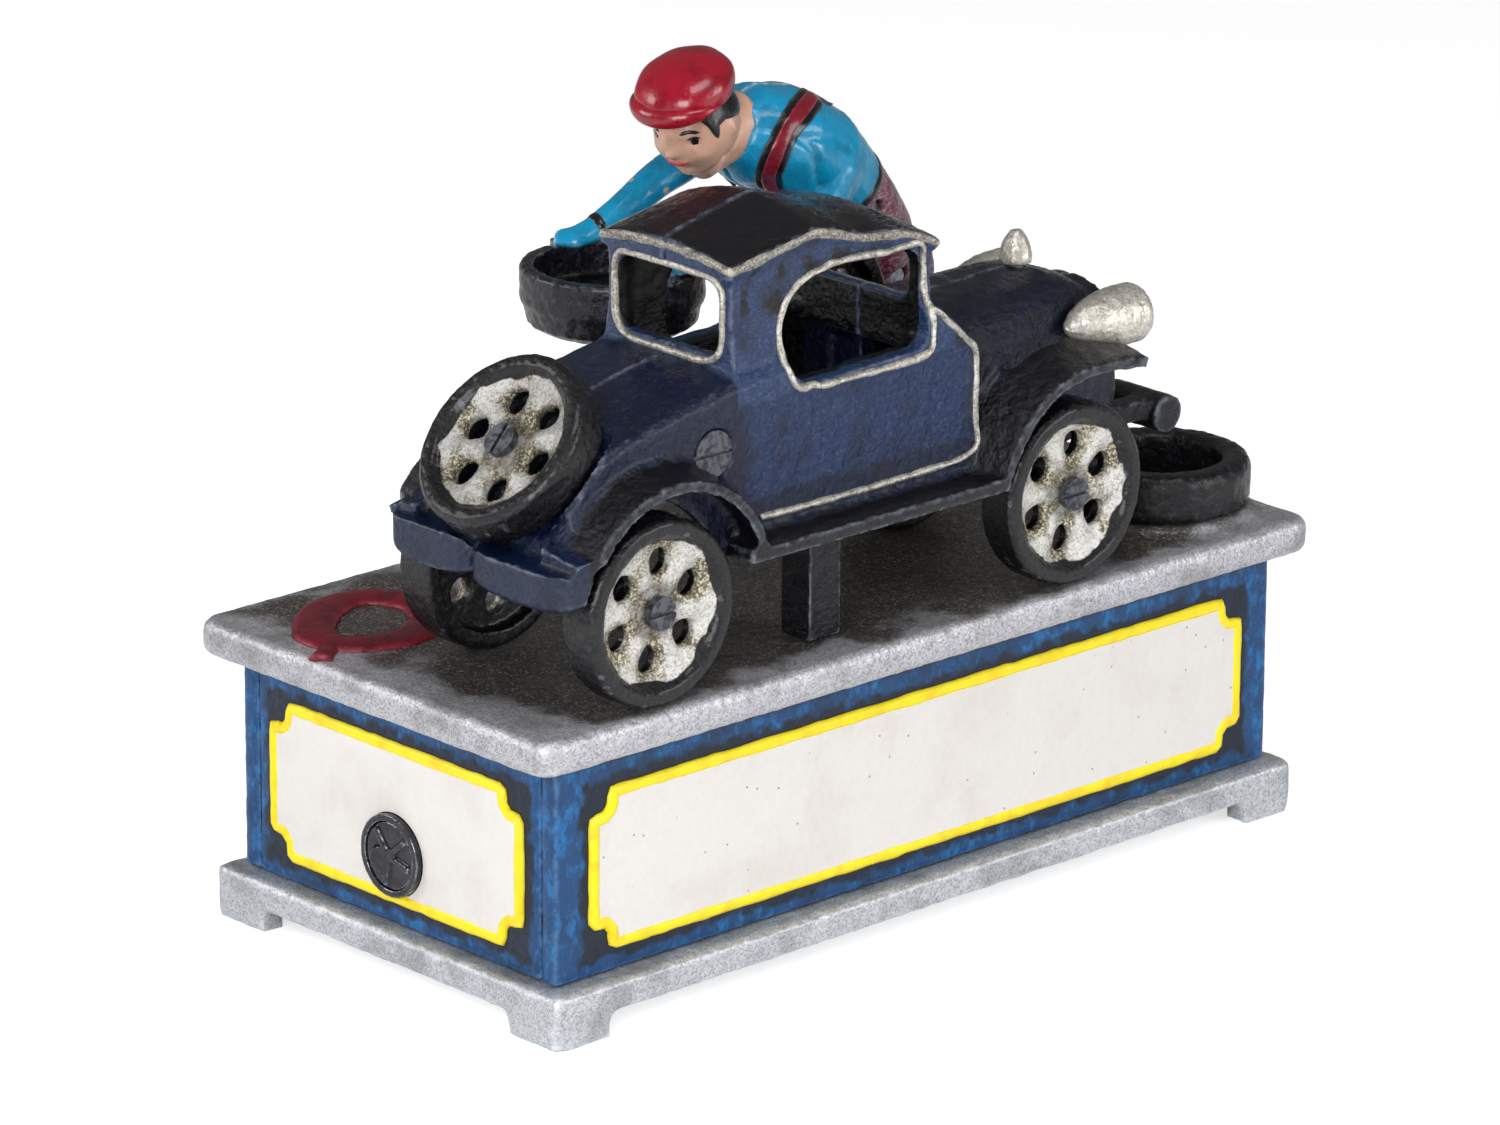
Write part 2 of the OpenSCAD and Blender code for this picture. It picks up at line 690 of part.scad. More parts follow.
// Rear apron: the right side sits a little lower than the left
module apron() {
  for (side = [-1, 1]) {
    drop = side < 0 ? 1.2 : 0;
    y0 = side < 0 ? car_y - fender_w / 2 + 1 : car_y;
    reach = fender_w / 2 - (side < 0 ? 1 : 6);
    box([-96 + (side < 0 ? -0.8 : 0), y0, 84 - drop], [-88, y0 + reach, 92.2 - drop]);
  }
}

bumper_x = 71.5;
bumper_z = 85;
bumper_r = 3.9;
bumper_l = 32;
module bumper() {
  translate([bumper_x, car_y, bumper_z]) rotate([90, 0, 0]) cylinder(h = bumper_l, r = bumper_r, center = true);
  for (side = [-1, 1]) translate([0, car_y + side * 11, 0])
    box([48, -2.5, bumper_z - 1], [bumper_x, 2.5, bumper_z + 3.5]);
}

radiator_x = 60;
module radiator() {
  end_slab(52, radiator_x) union() {
    translate([car_y - 12.6, sill_z]) square([25.2, 22]);
    translate([car_y, 0]) polygon(concat([[-12.6, 105]],
      [for (a = [180 : -20 : 0]) [12.6 * cos(a), 105 + 8 * sin(a)]], [[12.6, 105]]));
  }
}

// Windows
win_x0 = -33;
win_x1 = 2;
win_z0 = 112.6;
win_z1 = 132;
module window_shape() {
  hull() {
    translate([win_x0 + 6, win_z0 + 6]) circle(6, $fn = 32);
    translate([win_x0 + 8, win_z1 - 9]) circle(8, $fn = 32);
    translate([win_x0 + 14, win_z1 - 2]) circle(3, $fn = 32);
    translate([win_x1 - 3, win_z1 - 3]) circle(3, $fn = 32);
    translate([win_x1 - 3, win_z0 + 4]) circle(3, $fn = 32);
  }
}
rear_win_w = 27;
module end_window(w, z0, z1, r) {
  hull() for (sy = [-1, 1]) {
    translate([car_y + sy * (w / 2 - r), z0 + r]) circle(r, $fn = 32);
    translate([car_y + sy * (w / 2 - r), z1 - r]) circle(r, $fn = 32);
  }
}

wheel_well_r = tyre_r + 1.5;
cav_half = half - shell_t;
module car_hollow() {
  // Cabin and tail, open below
  side_slab(car_y - roof_half + shell_t, car_y + roof_half - shell_t) polygon([
    [cabin_x0 + shell_t, sill_z - 1], [cabin_x0 + shell_t, 133.4], [-31, 136], [-25.5, 137], [-13, 134.2],
    [-2, 133], [cabin_x1 - shell_t, 130.4], [cabin_x1 - shell_t, sill_z - 1]]);
  side_slab(car_y - cav_half, car_y + cav_half) polygon([
    [-84, sill_z - 1], [-83, 92], [-79, 99], [-74, 104.6], [-66, 108.6], [-56, 110.8], [-40, 112], [0, 112],
    [9, 109], [12, 107], [12, sill_z - 1]]);
  side_slab(car_y - 9, car_y + 9) polygon([
    [10, sill_z - 1], [10, 112], [44, 112], [50, 108], [56, 104], [56, sill_z - 1]]);
  // Room for the wheels
  for (x = [rear_x, front_x], side = [-1, 1]) {
    y0 = side < 0 ? car_y - wheel_out - 2 : car_y + wheel_out - tyre_w - 1;
    pin_y(x, hub_z, y0, y0 + tyre_w + 3, wheel_well_r);
  }
  // Room for the leaning spare wheel
  spare_at() translate([0, 0, -tyre_w - 0.6]) cylinder(h = 30, r = tyre_r + 0.6);
  // Well of the side tyre in the left fender, and the seats of the headlights
  side_tyre_at() translate([0, 0, -tyre_w - 0.4]) cylinder(h = 30, r = tyre_r + 0.4);
  for (side = [-1, 1]) headlight_at(side) bullet(0.1);
  side_slab(car_y - 60, car_y + 60) window_shape();
  end_slab(-60, -40) end_window(rear_win_w, 119.6, 134, 4);
  end_slab(-2, 20) end_window(rear_win_w, 121.5, 131.5, 3);
}

screw_x = -52.6;
screw_z = 104;
boss_r = 4.6;
boss_end = wheel_out - tyre_w - gap;
spare_boss_l = 7;

module car_inner() {
  // Axle bosses and the webs that carry them
  for (x = [rear_x, front_x]) {
    pin_y(x, hub_z, car_y - boss_end, car_y + boss_end, boss_r);
    box([x - 4, car_y - 12, hub_z], [x + 4, car_y + 12, x < 0 ? 106 : 114]);
  }
  // Boss of the long body screw
  pin_y(screw_x, screw_z, car_y - half + 1, car_y + half - 1, 4.4);
  // Boss of the spare wheel
  spare_at() translate([0, 0, -tyre_w - spare_boss_l]) cylinder(h = spare_boss_l, r = 6);
}

module car_bores() {
  for (x = [rear_x, front_x], side = [-1, 1]) wheel_at(x, side)
    translate([0, 0, -tyre_w - wheel_thread - 2]) cylinder(h = wheel_thread + 4, r = axle_r + seat);
  pin_y(screw_x, screw_z, car_y - half - 1, car_y + 14, screw_r + seat);
  pin_y(screw_x, screw_z, car_y - half - 1, car_y - half + 1.4, 4.7);
  spare_at() translate([0, 0, -tyre_w - 6]) cylinder(h = 12, r = axle_r + seat);
  translate([post_x, post_y, deck_z - 1]) cylinder(h = 12, r = screw_r + seat);
  cap_at() translate([0, 0, -4.2]) cylinder(h = 8, r = 1.6 + seat);
  for (side = [-1, 1]) headlight_at(side) rotate([90, 0, 0])
    translate([0, 0, side < 0 ? -8 : 0]) cylinder(h = 8, r = 1.5 + seat);
  side_tyre_at() translate([0, 0, -tyre_w - 6]) cylinder(h = 12, r = screw_r + seat);
}

module car_shell() {
  difference() {
    union() {
      difference() {
        union() {
          tub_body();
          bonnet_body();
          cabin_body();
          fenders();
          apron();
          bumper();
          radiator();
        }
        car_hollow();
      }
      car_inner();
      box([post_x - post_w / 2, post_y - post_w / 2, deck_z], [post_x + post_w / 2, post_y + post_w / 2, 88]);
      box([post_x - 8, car_y - half + 1, sill_z], [post_x + 8, post_y + post_w / 2 + 1, sill_z + 4]);
      side_tyre_at() translate([0, 0, -tyre_w - 2.2]) cylinder(h = 2.2, r = 5);
    }
    car_bores();
  }
}

module car_right_half() color("navy") placed() intersection() {
  car_shell();
  one_side(car_y, -1);
}

module car_left_half() color("navy") placed() intersection() {
  car_shell();
  one_side(car_y, 1);
}

module car_screw() color("dimgray") placed()
  translate([screw_x, car_y - half + 0.2, screw_z]) rotate([90, 0, 0]) screw(half + 12, screw_r, 4.5, 1.2);

module post_screw() color("dimgray") placed()
  translate([post_x, post_y, under_z - head_t]) rotate([180, 0, 0]) screw(deck_t + 9);

// Filler cap on the bonnet
cap_x = 44.5;
cap_z = 117.3;
module cap_at() {
  translate([cap_x, car_y, cap_z]) children();
}

module radiator_cap() color("silver") placed() cap_at() {
  translate([0, 0, -3.6]) cylinder(h = 4, r = 1.6);
  rotate_extrude() polygon([[0, 0.3], [3.3, 0.3], [3.3, 1.6], [3, 3.4], [2.3, 5.2], [1.2, 6.7], [0, 7.1]]);
}

// Headlights: bullets with a flat lens, on the bonnet's flanks
light_x = 50.5;
light_y = 16.4;
light_z = 108.2;
light_r = 6;
module headlight_at(side) {
  translate([light_x, car_y + side * light_y, light_z]) children();
}

// Bullet along X, grown by c for its seat
module bullet(c) {
  rotate([0, 90, 0]) rotate_extrude() polygon([
    [0, -9 - c], [1.6 + c, -8 - c], [3.4 + c, -5.4], [4.9 + c, -2], [light_r - 0.2 + c, 2], [light_r + c, 5.4],
    [light_r + c, 9], [light_r - 0.6 + c, 10.2 + c], [0, 10.8 + c]]);
}

module headlight(side) {
  headlight_at(side) {
    bullet(0);
    rotate([90, 0, 0]) translate([0, 0, side < 0 ? -7.5 : 0]) cylinder(h = 7.5, r = 1.5);
  }
}

module headlight_right() color("silver") placed() headlight(-1);

module headlight_left() color("silver") placed() headlight(1);

// Spare tyre standing on the left running board
side_tyre_x = 13;
side_tyre_y = 7.4;
side_tyre_z = 107.5;
module side_tyre_at() {
  translate([side_tyre_x, side_tyre_y, side_tyre_z]) rotate([-90, 0, 0]) children();
}

module side_tyre() color("black") placed() side_tyre_at() wheel(screw_r + seat);

module side_tyre_screw() color("dimgray") placed() side_tyre_at()
  translate([0, 0, -hub_in + head_t]) screw(tyre_w - hub_in + 3.4);

// Figure: trousers fixed to the deck

leg_x = 54;
hip_gap = 0.6;
tongue_w = 8;
tongue_r = 4.4;
eye_r = 2.3;
eye_t = 3;
eye_room = eye_r + 0.7;
// Legs: stations [z, half length, half width]
legs = [[0, 8.5, 9.5], [6, 8, 9], [18, 8, 9.4], [30, 8, 10], [40, 8, 9.8]];

module trousers() {
  difference() {
    union() {
      difference() {
        limb([for (s = legs) [leg_x, fig_y, deck_z + s[0], s[1], s[2]]], 20);
        pin_y(hip_x, hip_z, fig_y - 20, fig_y + 20, seat_r + hip_gap);
      }
      // Tongue that carries the hip pin
      side_slab(fig_y - tongue_w / 2, fig_y + tongue_w / 2) union() {
        translate([hip_x, hip_z]) circle(tongue_r);
        polygon([[hip_x - tongue_r, hip_z], [hip_x + tongue_r, hip_z], [hip_x + tongue_r, 94], [hip_x - tongue_r + 3, 94]]);
      }
      // Shoes
      for (sy = [-1, 1]) translate([0, fig_y + sy * 5, deck_z])
        side_slab(-4.2, 4.2) polygon([[leg_x - 15, 0], [leg_x - 15.5, 2], [leg_x - 13.5, 4.4], [leg_x - 7, 6.5],
          [leg_x + 8, 6.5], [leg_x + 9, 0]]);
    }
    // Crease between the legs, front and back
    box([leg_x - 20, fig_y - 0.8, deck_z - 1], [leg_x - 5, fig_y + 0.8, deck_z + 26]);
    box([leg_x + 8, fig_y - 0.8, deck_z - 1], [leg_x + 20, fig_y + 0.8, deck_z + 26]);
    // Bore of the push rod
    translate([rod_x, fig_y, deck_z - 1]) cylinder(h = 60, r = rod_r + 0.5);
    pin_y(hip_x, hip_z, fig_y - 20, fig_y + 20, hip_pin_r + seat);
    for (sy = [-1, 1]) translate([leg_screw_x, fig_y + sy * leg_screw_y, deck_z - 1])
      cylinder(h = 10, r = screw_r + seat);
    // Room for the rod's eye
    box([rod_x - eye_room, fig_y - 2.2, 92], [rod_x + eye_room, fig_y + 2.2, 120]);
  }
}

module trousers_right_half() color("maroon") placed() intersection() {
  trousers();
  one_side(fig_y, -1);
}

module trousers_left_half() color("maroon") placed() intersection() {
  trousers();
  one_side(fig_y, 1);
}

module trouser_screws() color("dimgray") placed() {
  for (sy = [-1, 1]) translate([leg_screw_x, fig_y + sy * leg_screw_y, under_z - head_t])
    rotate([180, 0, 0]) screw(deck_t + 8);
}

cheek_y = tongue_w / 2 + gap;
hip_half = 8.4;

module hip_pin() color("dimgray") placed() pin_y(hip_x, hip_z, fig_y - hip_half + 0.5, fig_y + hip_half - 0.5, hip_pin_r);

// Torso: stations [x, z, half thickness, half width], from the seat to the neck
torso = [[47.6, 108, 10.2, 10], [46, 113.5, 10.2, 10.2], [42.2, 119.2, 10.2, 10.8], [36.8, 125.8, 10.4, 11.4],
         [30.8, 131.8, 11.4, 12.8], [21.5, 137.2, 11.4, 13.2], [14, 140, 9.8, 11], [9.5, 141.4, 6.4, 7.4]];
neck_r = 3.4;
neck_x = 9;
neck_z = 141.4;

module torso_solid() {
  limb([for (s = torso) [s[0], fig_y, s[1], s[2], s[3]]], 24);
  pin_y(hip_x, hip_z, fig_y - hip_half, fig_y + hip_half, seat_r);
}

// Arms: points [x, offset from the middle, z, half thickness, half width]
right_arm = [[33, -8, 134, 4, 3.6], [31, -8.8, 131.5, 5, 4.6], [27, -9, 125.5, 4.8, 4.4], [22.5, -9, 121, 4.4, 4.2],
             [12, -9, 119.8, 3.8, 3.8], [0, -9.4, 119.8, 3.2, 3.4], [-6, -9.8, 120.2, 2.4, 3.4], [-13, -10, 120.2, 1.8, 3.2]];
left_arm = [[27, 8, 135.5, 4, 3.6], [21, 10, 135.5, 4.8, 4.4], [12, 12, 133.4, 4.4, 4.2], [3, 13.2, 129.4, 3.8, 3.8],
            [-5.5, 14.2, 124.6, 3.2, 3.2], [-10.5, 15.6, 121.8, 2.6, 3.2], [-14, 17.6, 120.4, 2, 3.4],
            [-16, 20.6, 120.2, 1.6, 2.8]];

module arm(points) {
  limb([for (p = points) [p[0], fig_y + p[1], p[2], p[3], p[4]]], 12);
}

function sector(r, a0, a1) = concat([[0, 0]], [for (i = [0 : 8]) on_arc(0, 0, r, a0 + (a1 - a0) * i / 8)]);

rod_pin_r = 1.1;
rod_pin_x = rod_x;
rod_pin_z = hip_z - tail_arm * sin(bend / 2);

module torso() {
  difference() {
    torso_solid();
    // Slot for the tongue and the rod's eye
    side_slab(fig_y - cheek_y, fig_y + cheek_y) translate([hip_x, hip_z]) union() {
      circle(seat_r - 1);
      polygon(sector(seat_r + 3, -148, -20));
    }
    pin_y(hip_x, hip_z, fig_y - 20, fig_y + 20, hip_pin_r + fit);
    pin_y(rod_pin_x, rod_pin_z, fig_y - 7, fig_y + 7, rod_pin_r + seat);
    // Hollow of the back
    translate([33, fig_y, 130.5]) rotate([0, -55, 0]) cylinder(h = 20, r = 7, center = true);
    // Socket of the neck
    neck_at() translate([0, 0, -11]) cylinder(h = 14, r = neck_r + seat);
    pin_y(40, 122, fig_y - 20, fig_y + 20, 1.5 + seat);
  }
}

tray_x = -14.5;
tray_y = 28;
tray_top = 118.4;
rivet_y = tray_r - rim_t / 2;

module tray_cut() {
  translate([tray_x, tray_y, tray_top - tray_h - 1]) cylinder(h = tray_h + 1.02, r = tray_r + 0.3);
}

module rivet_bores() {
  for (sy = [-1, 1]) translate([tray_x, tray_y + sy * rivet_y, tray_top - 5])
    cylinder(h = 12, r = 1 + seat);
}

module torso_right_half() color("deepskyblue") placed() difference() {
  union() {
    intersection() {
      torso();
      one_side(fig_y, -1);
    }
    difference() {
      arm(right_arm);
      torso_solid();
      tray_cut();
    }
  }
  rivet_bores();
}

module torso_left_half() color("deepskyblue") placed() difference() {
  union() {
    intersection() {
      torso();
      one_side(fig_y, 1);
    }
    difference() {
      arm(left_arm);
      torso_solid();
      tray_cut();
    }
  }
  rivet_bores();
}

module torso_rivet() color("dimgray") placed() pin_y(40, 122, fig_y - 9, fig_y + 9, 1.5);

module rod_pin() color("dimgray") placed() pin_y(rod_pin_x, rod_pin_z, fig_y - 6.5, fig_y + 6.5, rod_pin_r);

// Head with its cap
head_x = 3;
head_z = 143.4;
head_turn = -6;
head_nod = 24;
module neck_at() {
  translate([neck_x, fig_y, neck_z]) rotate([0, -76, 0]) children();
}

module head() color("tan") placed() {
  difference() {
    union() {
      neck_at() translate([0, 0, -10]) cylinder(h = 15, r = neck_r);
      translate([head_x, fig_y, head_z]) rotate([0, 0, -head_turn]) rotate([0, -head_nod, 0]) {
        scale([9, 8.2, 9.6]) sphere(1, $fn = 28);
        translate([-1, 0, 8.4]) scale([10, 9.6, 7.8]) sphere(1, $fn = 28);
        translate([-8, 0, 5.8]) scale([6, 8, 1.5]) sphere(1, $fn = 20);
      }
    }
    torso_hold();
  }
}

// The neck is all that enters the torso
module torso_hold() {
  difference() {
    limb([for (s = torso) [s[0], fig_y, s[1], s[2] + 0.15, s[3] + 0.15]], 24);
    neck_at() translate([0, 0, -11]) cylinder(h = 14, r = neck_r + 0.01);
  }
}

// Tyre-shaped tray
module coin_tray() color("black") placed() difference() {
  translate([tray_x, tray_y, tray_top - tray_h]) rotate_extrude() polygon([
    [0, 0], [tray_r - 4, 0], [tray_r - 1.4, 1.6], [tray_r - 0.5, 5.4], [tray_r, 5.8], [tray_r, tray_h - 0.6],
    [tray_r - 0.6, tray_h], [tray_r - rim_t, tray_h], [tray_r - rim_t, tray_h - tray_depth], [0, tray_h - tray_depth]]);
  rivet_bores();
}

module tray_rivets() color("dimgray") placed() {
  for (sy = [-1, 1]) translate([tray_x, tray_y + sy * rivet_y, tray_top - 4.6])
    cylinder(h = 5.4, r = 1);
}

// Linkage under the deck

function lever_turn_z(x) = (x - lever_x) * tan(lever_turn) + lever_h / 2 * (1 / cos(lever_turn) - 1);
rod_foot = lever_z + lever_h / 2 + gap;
collar_z = rod_foot + 2.4;
collar_t = 1.5;
coil_r = rod_r + wire_r + 0.9;
collar_r = coil_r + wire_r + 0.3;

module push_rod() color("dimgray") placed() {
  translate([rod_x, fig_y, rod_foot + rod_r]) {
    sphere(rod_r);
    cylinder(h = rod_pin_z - rod_foot - rod_r - eye_r + 0.8, r = rod_r);
  }
  translate([rod_x, fig_y, collar_z]) cylinder(h = collar_t, r = collar_r);
  // Eye round the rod pin, a little long for the pin's small arc
  difference() {
    pin_y(rod_x, rod_pin_z, fig_y - eye_t / 2, fig_y + eye_t / 2, eye_r);
    side_slab(fig_y - eye_t, fig_y + eye_t) union() {
      for (s = [-1, 1]) translate([rod_x + s * 0.3, rod_pin_z]) circle(rod_pin_r + 0.15);
      translate([rod_x - 0.3, rod_pin_z - rod_pin_r - 0.15]) square([0.6, 2 * rod_pin_r + 0.3]);
    }
  }
}

// Spring from the collar to the deck's underside
spring_z0 = collar_z + collar_t + wire_r + 0.02;
spring_z1 = under_z - wire_r - 0.02;
spring_steps = 8;
spring_n = curls * spring_steps;
function coil_point(i) = [rod_x + coil_r * cos(360 * i / spring_steps), fig_y + coil_r * sin(360 * i / spring_steps),
                          spring_z0 + (spring_z1 - spring_z0) * i / spring_n];
function coil_ring(i) =
  let (a = 360 * i / spring_steps, c = [cos(a), sin(a), 0])
  [for (k = [0 : 5]) coil_point(i) + wire_r * (c * cos(60 * k) + [0, 0, 1] * sin(60 * k))];
spring_gap = (spring_z1 - spring_z0) / curls - 2 * wire_r;
echo(spring_gap = spring_gap);

module return_spring() color("silver") placed() loft([for (i = [0 : spring_n]) coil_ring(i)]);

// Thumb lever
pad_w = 14;
pad_t = 3;
pad_l = 13;
module thumb_lever() color("dimgray") placed() difference() {
  union() {
    box([rod_x - 3.5, lever_y - lever_w / 2, lever_z - lever_h / 2],
        [pad_x - pad_l / 2, lever_y + lever_w / 2, lever_z + lever_h / 2]);
    translate([pad_x - pad_w / 2, lever_y, lever_z - pad_t / 2 + 0.8]) cylinder(h = pad_t, r = pad_w / 2);
    pin_y(lever_x, lever_z, lever_y - lever_w / 2, lever_y + lever_w / 2, 4);
  }
  pin_y(lever_x, lever_z, lever_y - 9, lever_y + 9, lever_pin_r + fit);
}

module lever_pin() color("silver") placed()
  pin_y(lever_x, lever_z, lever_y - ear_y - ear_t - 0.4, lever_y + ear_y + ear_t + 0.4, lever_pin_r);

base_plate();
front_panel();
back_panel();
left_end_plate();
right_end_plate();
deck_plate();
wall_screws();
deck_screws();
lock_body();
lock_barrel();
lock_nut();
lock_cam();
lock_cam_screw();
deck_tyre();
deck_tyre_screws();
car_right_half();
car_left_half();
car_screw();
post_screw();
radiator_cap();
headlight_right();
headlight_left();
wheel_front_right();
wheel_rear_right();
wheel_front_left();
wheel_rear_left();
wheel_screws();
spare_wheel();
spare_screw();
side_tyre();
side_tyre_screw();
trousers_right_half();
trousers_left_half();
trouser_screws();
hip_pin();
torso_right_half();
torso_left_half();
torso_rivet();
head();
coin_tray();
tray_rivets();
rod_pin();
push_rod();
return_spring();
thumb_lever();
lever_pin();
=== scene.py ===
import json
import math

import bmesh
import bpy
import numpy as np
from mathutils import Matrix, Vector
from mathutils.bvhtree import BVHTree


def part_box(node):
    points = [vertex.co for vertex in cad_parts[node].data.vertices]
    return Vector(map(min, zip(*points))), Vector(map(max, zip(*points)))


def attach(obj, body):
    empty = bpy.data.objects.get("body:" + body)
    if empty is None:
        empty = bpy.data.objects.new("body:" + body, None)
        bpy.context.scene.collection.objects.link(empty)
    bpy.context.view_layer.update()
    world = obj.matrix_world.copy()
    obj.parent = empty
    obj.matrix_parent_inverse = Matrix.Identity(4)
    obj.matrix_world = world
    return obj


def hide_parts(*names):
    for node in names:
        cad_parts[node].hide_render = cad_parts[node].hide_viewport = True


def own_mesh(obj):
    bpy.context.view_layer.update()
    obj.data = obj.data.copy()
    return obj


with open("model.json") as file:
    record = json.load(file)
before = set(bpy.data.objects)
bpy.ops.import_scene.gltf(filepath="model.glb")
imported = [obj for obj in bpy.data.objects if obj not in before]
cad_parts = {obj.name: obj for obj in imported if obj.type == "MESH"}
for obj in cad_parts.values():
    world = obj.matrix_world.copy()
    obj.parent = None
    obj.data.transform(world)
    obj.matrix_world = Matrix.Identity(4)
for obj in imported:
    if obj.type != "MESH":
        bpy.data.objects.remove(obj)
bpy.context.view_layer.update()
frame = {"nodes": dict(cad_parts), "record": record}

nodes = frame["nodes"]
scene = bpy.context.scene
mm = 0.001  # every size in the dictionaries below is in millimetres

# where things stand: sizes below are taken from the deck's centre, which lies a little behind the origin
deckLow, deckHigh = (np.array(v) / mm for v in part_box("deck_plate"))
home = np.array([(deckLow[0] + deckHigh[0]) / 2, 0, 0])
carMiddle, figureMiddle = -22.0, 22.0


def hashed(i, j, k, seed):  # a repeatable number from 0 to 1 for each corner of a lattice
    h = (i * 374761393 + j * 668265263 + k * 2147483647 + seed * 1274126177) & 0xFFFFFFFF
    h = ((h ^ (h >> 13)) * 1274126177) & 0xFFFFFFFF
    return ((h ^ (h >> 16)) & 0xFFFF) / 65535.0


def grain(p, size, seed=0):
    # smooth lattice noise from -1 to 1: corner values mixed by s = t*t*(3 - 2t) along each axis
    q = np.asarray(p) / size
    cell = np.floor(q).astype(np.int64)
    t = q - cell
    s = t * t * (3 - 2 * t)
    total = np.zeros(len(q))
    for a in (0, 1):
        for b in (0, 1):
            for c in (0, 1):
                share = np.abs(1 - a - s[:, 0]) * np.abs(1 - b - s[:, 1]) * np.abs(1 - c - s[:, 2])
                total += share * hashed(cell[:, 0] + a, cell[:, 1] + b, cell[:, 2] + c, seed)
    return total * 2 - 1


def unit(v):
    return v / np.maximum(np.linalg.norm(v, axis=-1, keepdims=True), 1e-12)


def cubic(p, at):
    # Catmull-Rom curve: the cubic whose slope at each point is half the way between its neighbours
    i = at.astype(int)
    f = (at - i)[:, None]
    a, b, c, d = p[i], p[i + 1], p[i + 2], p[i + 3]
    return 0.5 * (2 * b + (c - a) * f + (2 * a - 5 * b + 4 * c - d) * f ** 2 + (3 * b - a - 3 * c + d) * f ** 3)


def smoothLine(points, count):
    p = np.asarray(points, float)
    return cubic(np.vstack([2 * p[0] - p[1], p, 2 * p[-1] - p[-2]]), np.linspace(0, len(p) - 1 - 1e-9, count))


def smoothLoop(points, count):
    p = np.asarray(points, float)
    return cubic(np.vstack([p[-1:], p, p[:2]]), np.arange(count) * len(p) / count)


def evenly(points, step, closed=False):
    # points a given step apart along straight runs
    p = np.asarray(points, float)
    if closed:
        p = np.vstack([p, p[:1]])
    run = np.concatenate([[0], np.cumsum(np.linalg.norm(np.diff(p, axis=0), axis=1))])
    count = max(3, int(round(run[-1] / step)))
    at = np.linspace(0, run[-1], count + 1)[: count if closed else None]
    return np.stack([np.interp(at, run, p[:, k]) for k in range(p.shape[1])], axis=1)


def place(obj):
    scene.collection.objects.link(obj)
    return obj


def closeMesh(mesh):
    # merges doubled points and turns every face outwards
    b = bmesh.new()
    b.from_mesh(mesh)
    bmesh.ops.remove_doubles(b, verts=b.verts, dist=2e-6)
    bmesh.ops.dissolve_degenerate(b, edges=b.edges, dist=1e-7)
    bmesh.ops.recalc_face_normals(b, faces=b.faces)
    b.to_mesh(mesh)
    b.free()
    mesh.shade_smooth()


def surface(name, body, rings, finish, along=False):
    # closed surface from a grid of points [ring, point in ring] in mm; the two end rings shrink to their middles
    g = np.asarray(rings, float) + home
    if not along:
        first, last = g[:1].mean(axis=1, keepdims=True), g[-1:].mean(axis=1, keepdims=True)
        g = np.concatenate([np.repeat(first, g.shape[1], 1), g, np.repeat(last, g.shape[1], 1)])
    n, m = g.shape[:2]
    i = np.arange(n if along else n - 1)[:, None]
    j = np.arange(m)[None, :]
    i1, j1 = (i + 1) % n, (j + 1) % m
    faces = np.stack([i * m + j, i1 * m + j, i1 * m + j1, i * m + j1], axis=-1).reshape(-1, 4)
    mesh = bpy.data.meshes.new(name)
    mesh.from_pydata((g.reshape(-1, 3) * mm).tolist(), [], faces.tolist())
    closeMesh(mesh)
    return finishPiece(name, body, mesh, finish)


def finishPiece(name, body, mesh, finish):
    obj = place(bpy.data.objects.new(name, mesh))
    mesh.materials.clear()
    mesh.materials.append(finishes[finish])
    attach(obj, body)
    return obj


def arrays(mesh):
    co = np.zeros(len(mesh.vertices) * 3, np.float32)
    mesh.vertices.foreach_get("co", co)
    nv = np.zeros(len(mesh.vertices) * 3, np.float32)
    mesh.vertex_normals.foreach_get("vector", nv)
    return co.reshape(-1, 3).astype(float), nv.reshape(-1, 3).astype(float)


def cast(node, body, finish, voxel, rounds, rough, size=1.8, shape=None):
    # a sand casting: the CAD node merged and remeshed, its edges rounded by moving each point half way to the
    # middle of its neighbours, then sunk along its normal by two sizes of grain, and never lifted
    source = bpy.data.objects.new(node + "Source", nodes[node].data.copy())
    closeMesh(source.data)
    place(source)
    remesh = source.modifiers.new("even", "REMESH")
    remesh.mode = "VOXEL"
    remesh.voxel_size = voxel * mm
    mesh = bpy.data.meshes.new_from_object(source.evaluated_get(bpy.context.evaluated_depsgraph_get()))
    bpy.data.objects.remove(source)
    co, nv = arrays(mesh)
    edges = np.zeros(len(mesh.edges) * 2, np.int32)
    mesh.edges.foreach_get("vertices", edges)
    a, b = edges.reshape(-1, 2).T
    count = np.bincount(np.concatenate([a, b]), minlength=len(co))[:, None]
    for _ in range(rounds):
        near = np.stack([np.bincount(a, co[b, k], len(co)) + np.bincount(b, co[a, k], len(co))
                         for k in range(3)], axis=1)
        co += 0.5 * (near / count - co)
    p = co / mm
    sink = rough * (0.65 * (grain(p, size, 3) - 1) + 0.35 * (grain(p, size * 0.45, 7) - 1))
    p = p + nv * sink[:, None]
    if shape is not None:
        p = shape(p, nv)
    mesh.vertices.foreach_set("co", (p * mm).astype(np.float32).ravel())
    mesh.update()
    mesh.shade_smooth()
    mesh.name = node + "Cast"
    obj = finishPiece(node + "Cast", body, mesh, finish)
    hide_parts(node)
    return obj


def tint(text):  # sRGB hex to linear, with alpha 1
    v = [int(text[i:i + 2], 16) / 255 for i in (1, 3, 5)]
    return tuple([c / 12.92 if c <= 0.04045 else ((c + 0.055) / 1.055) ** 2.4 for c in v] + [1])


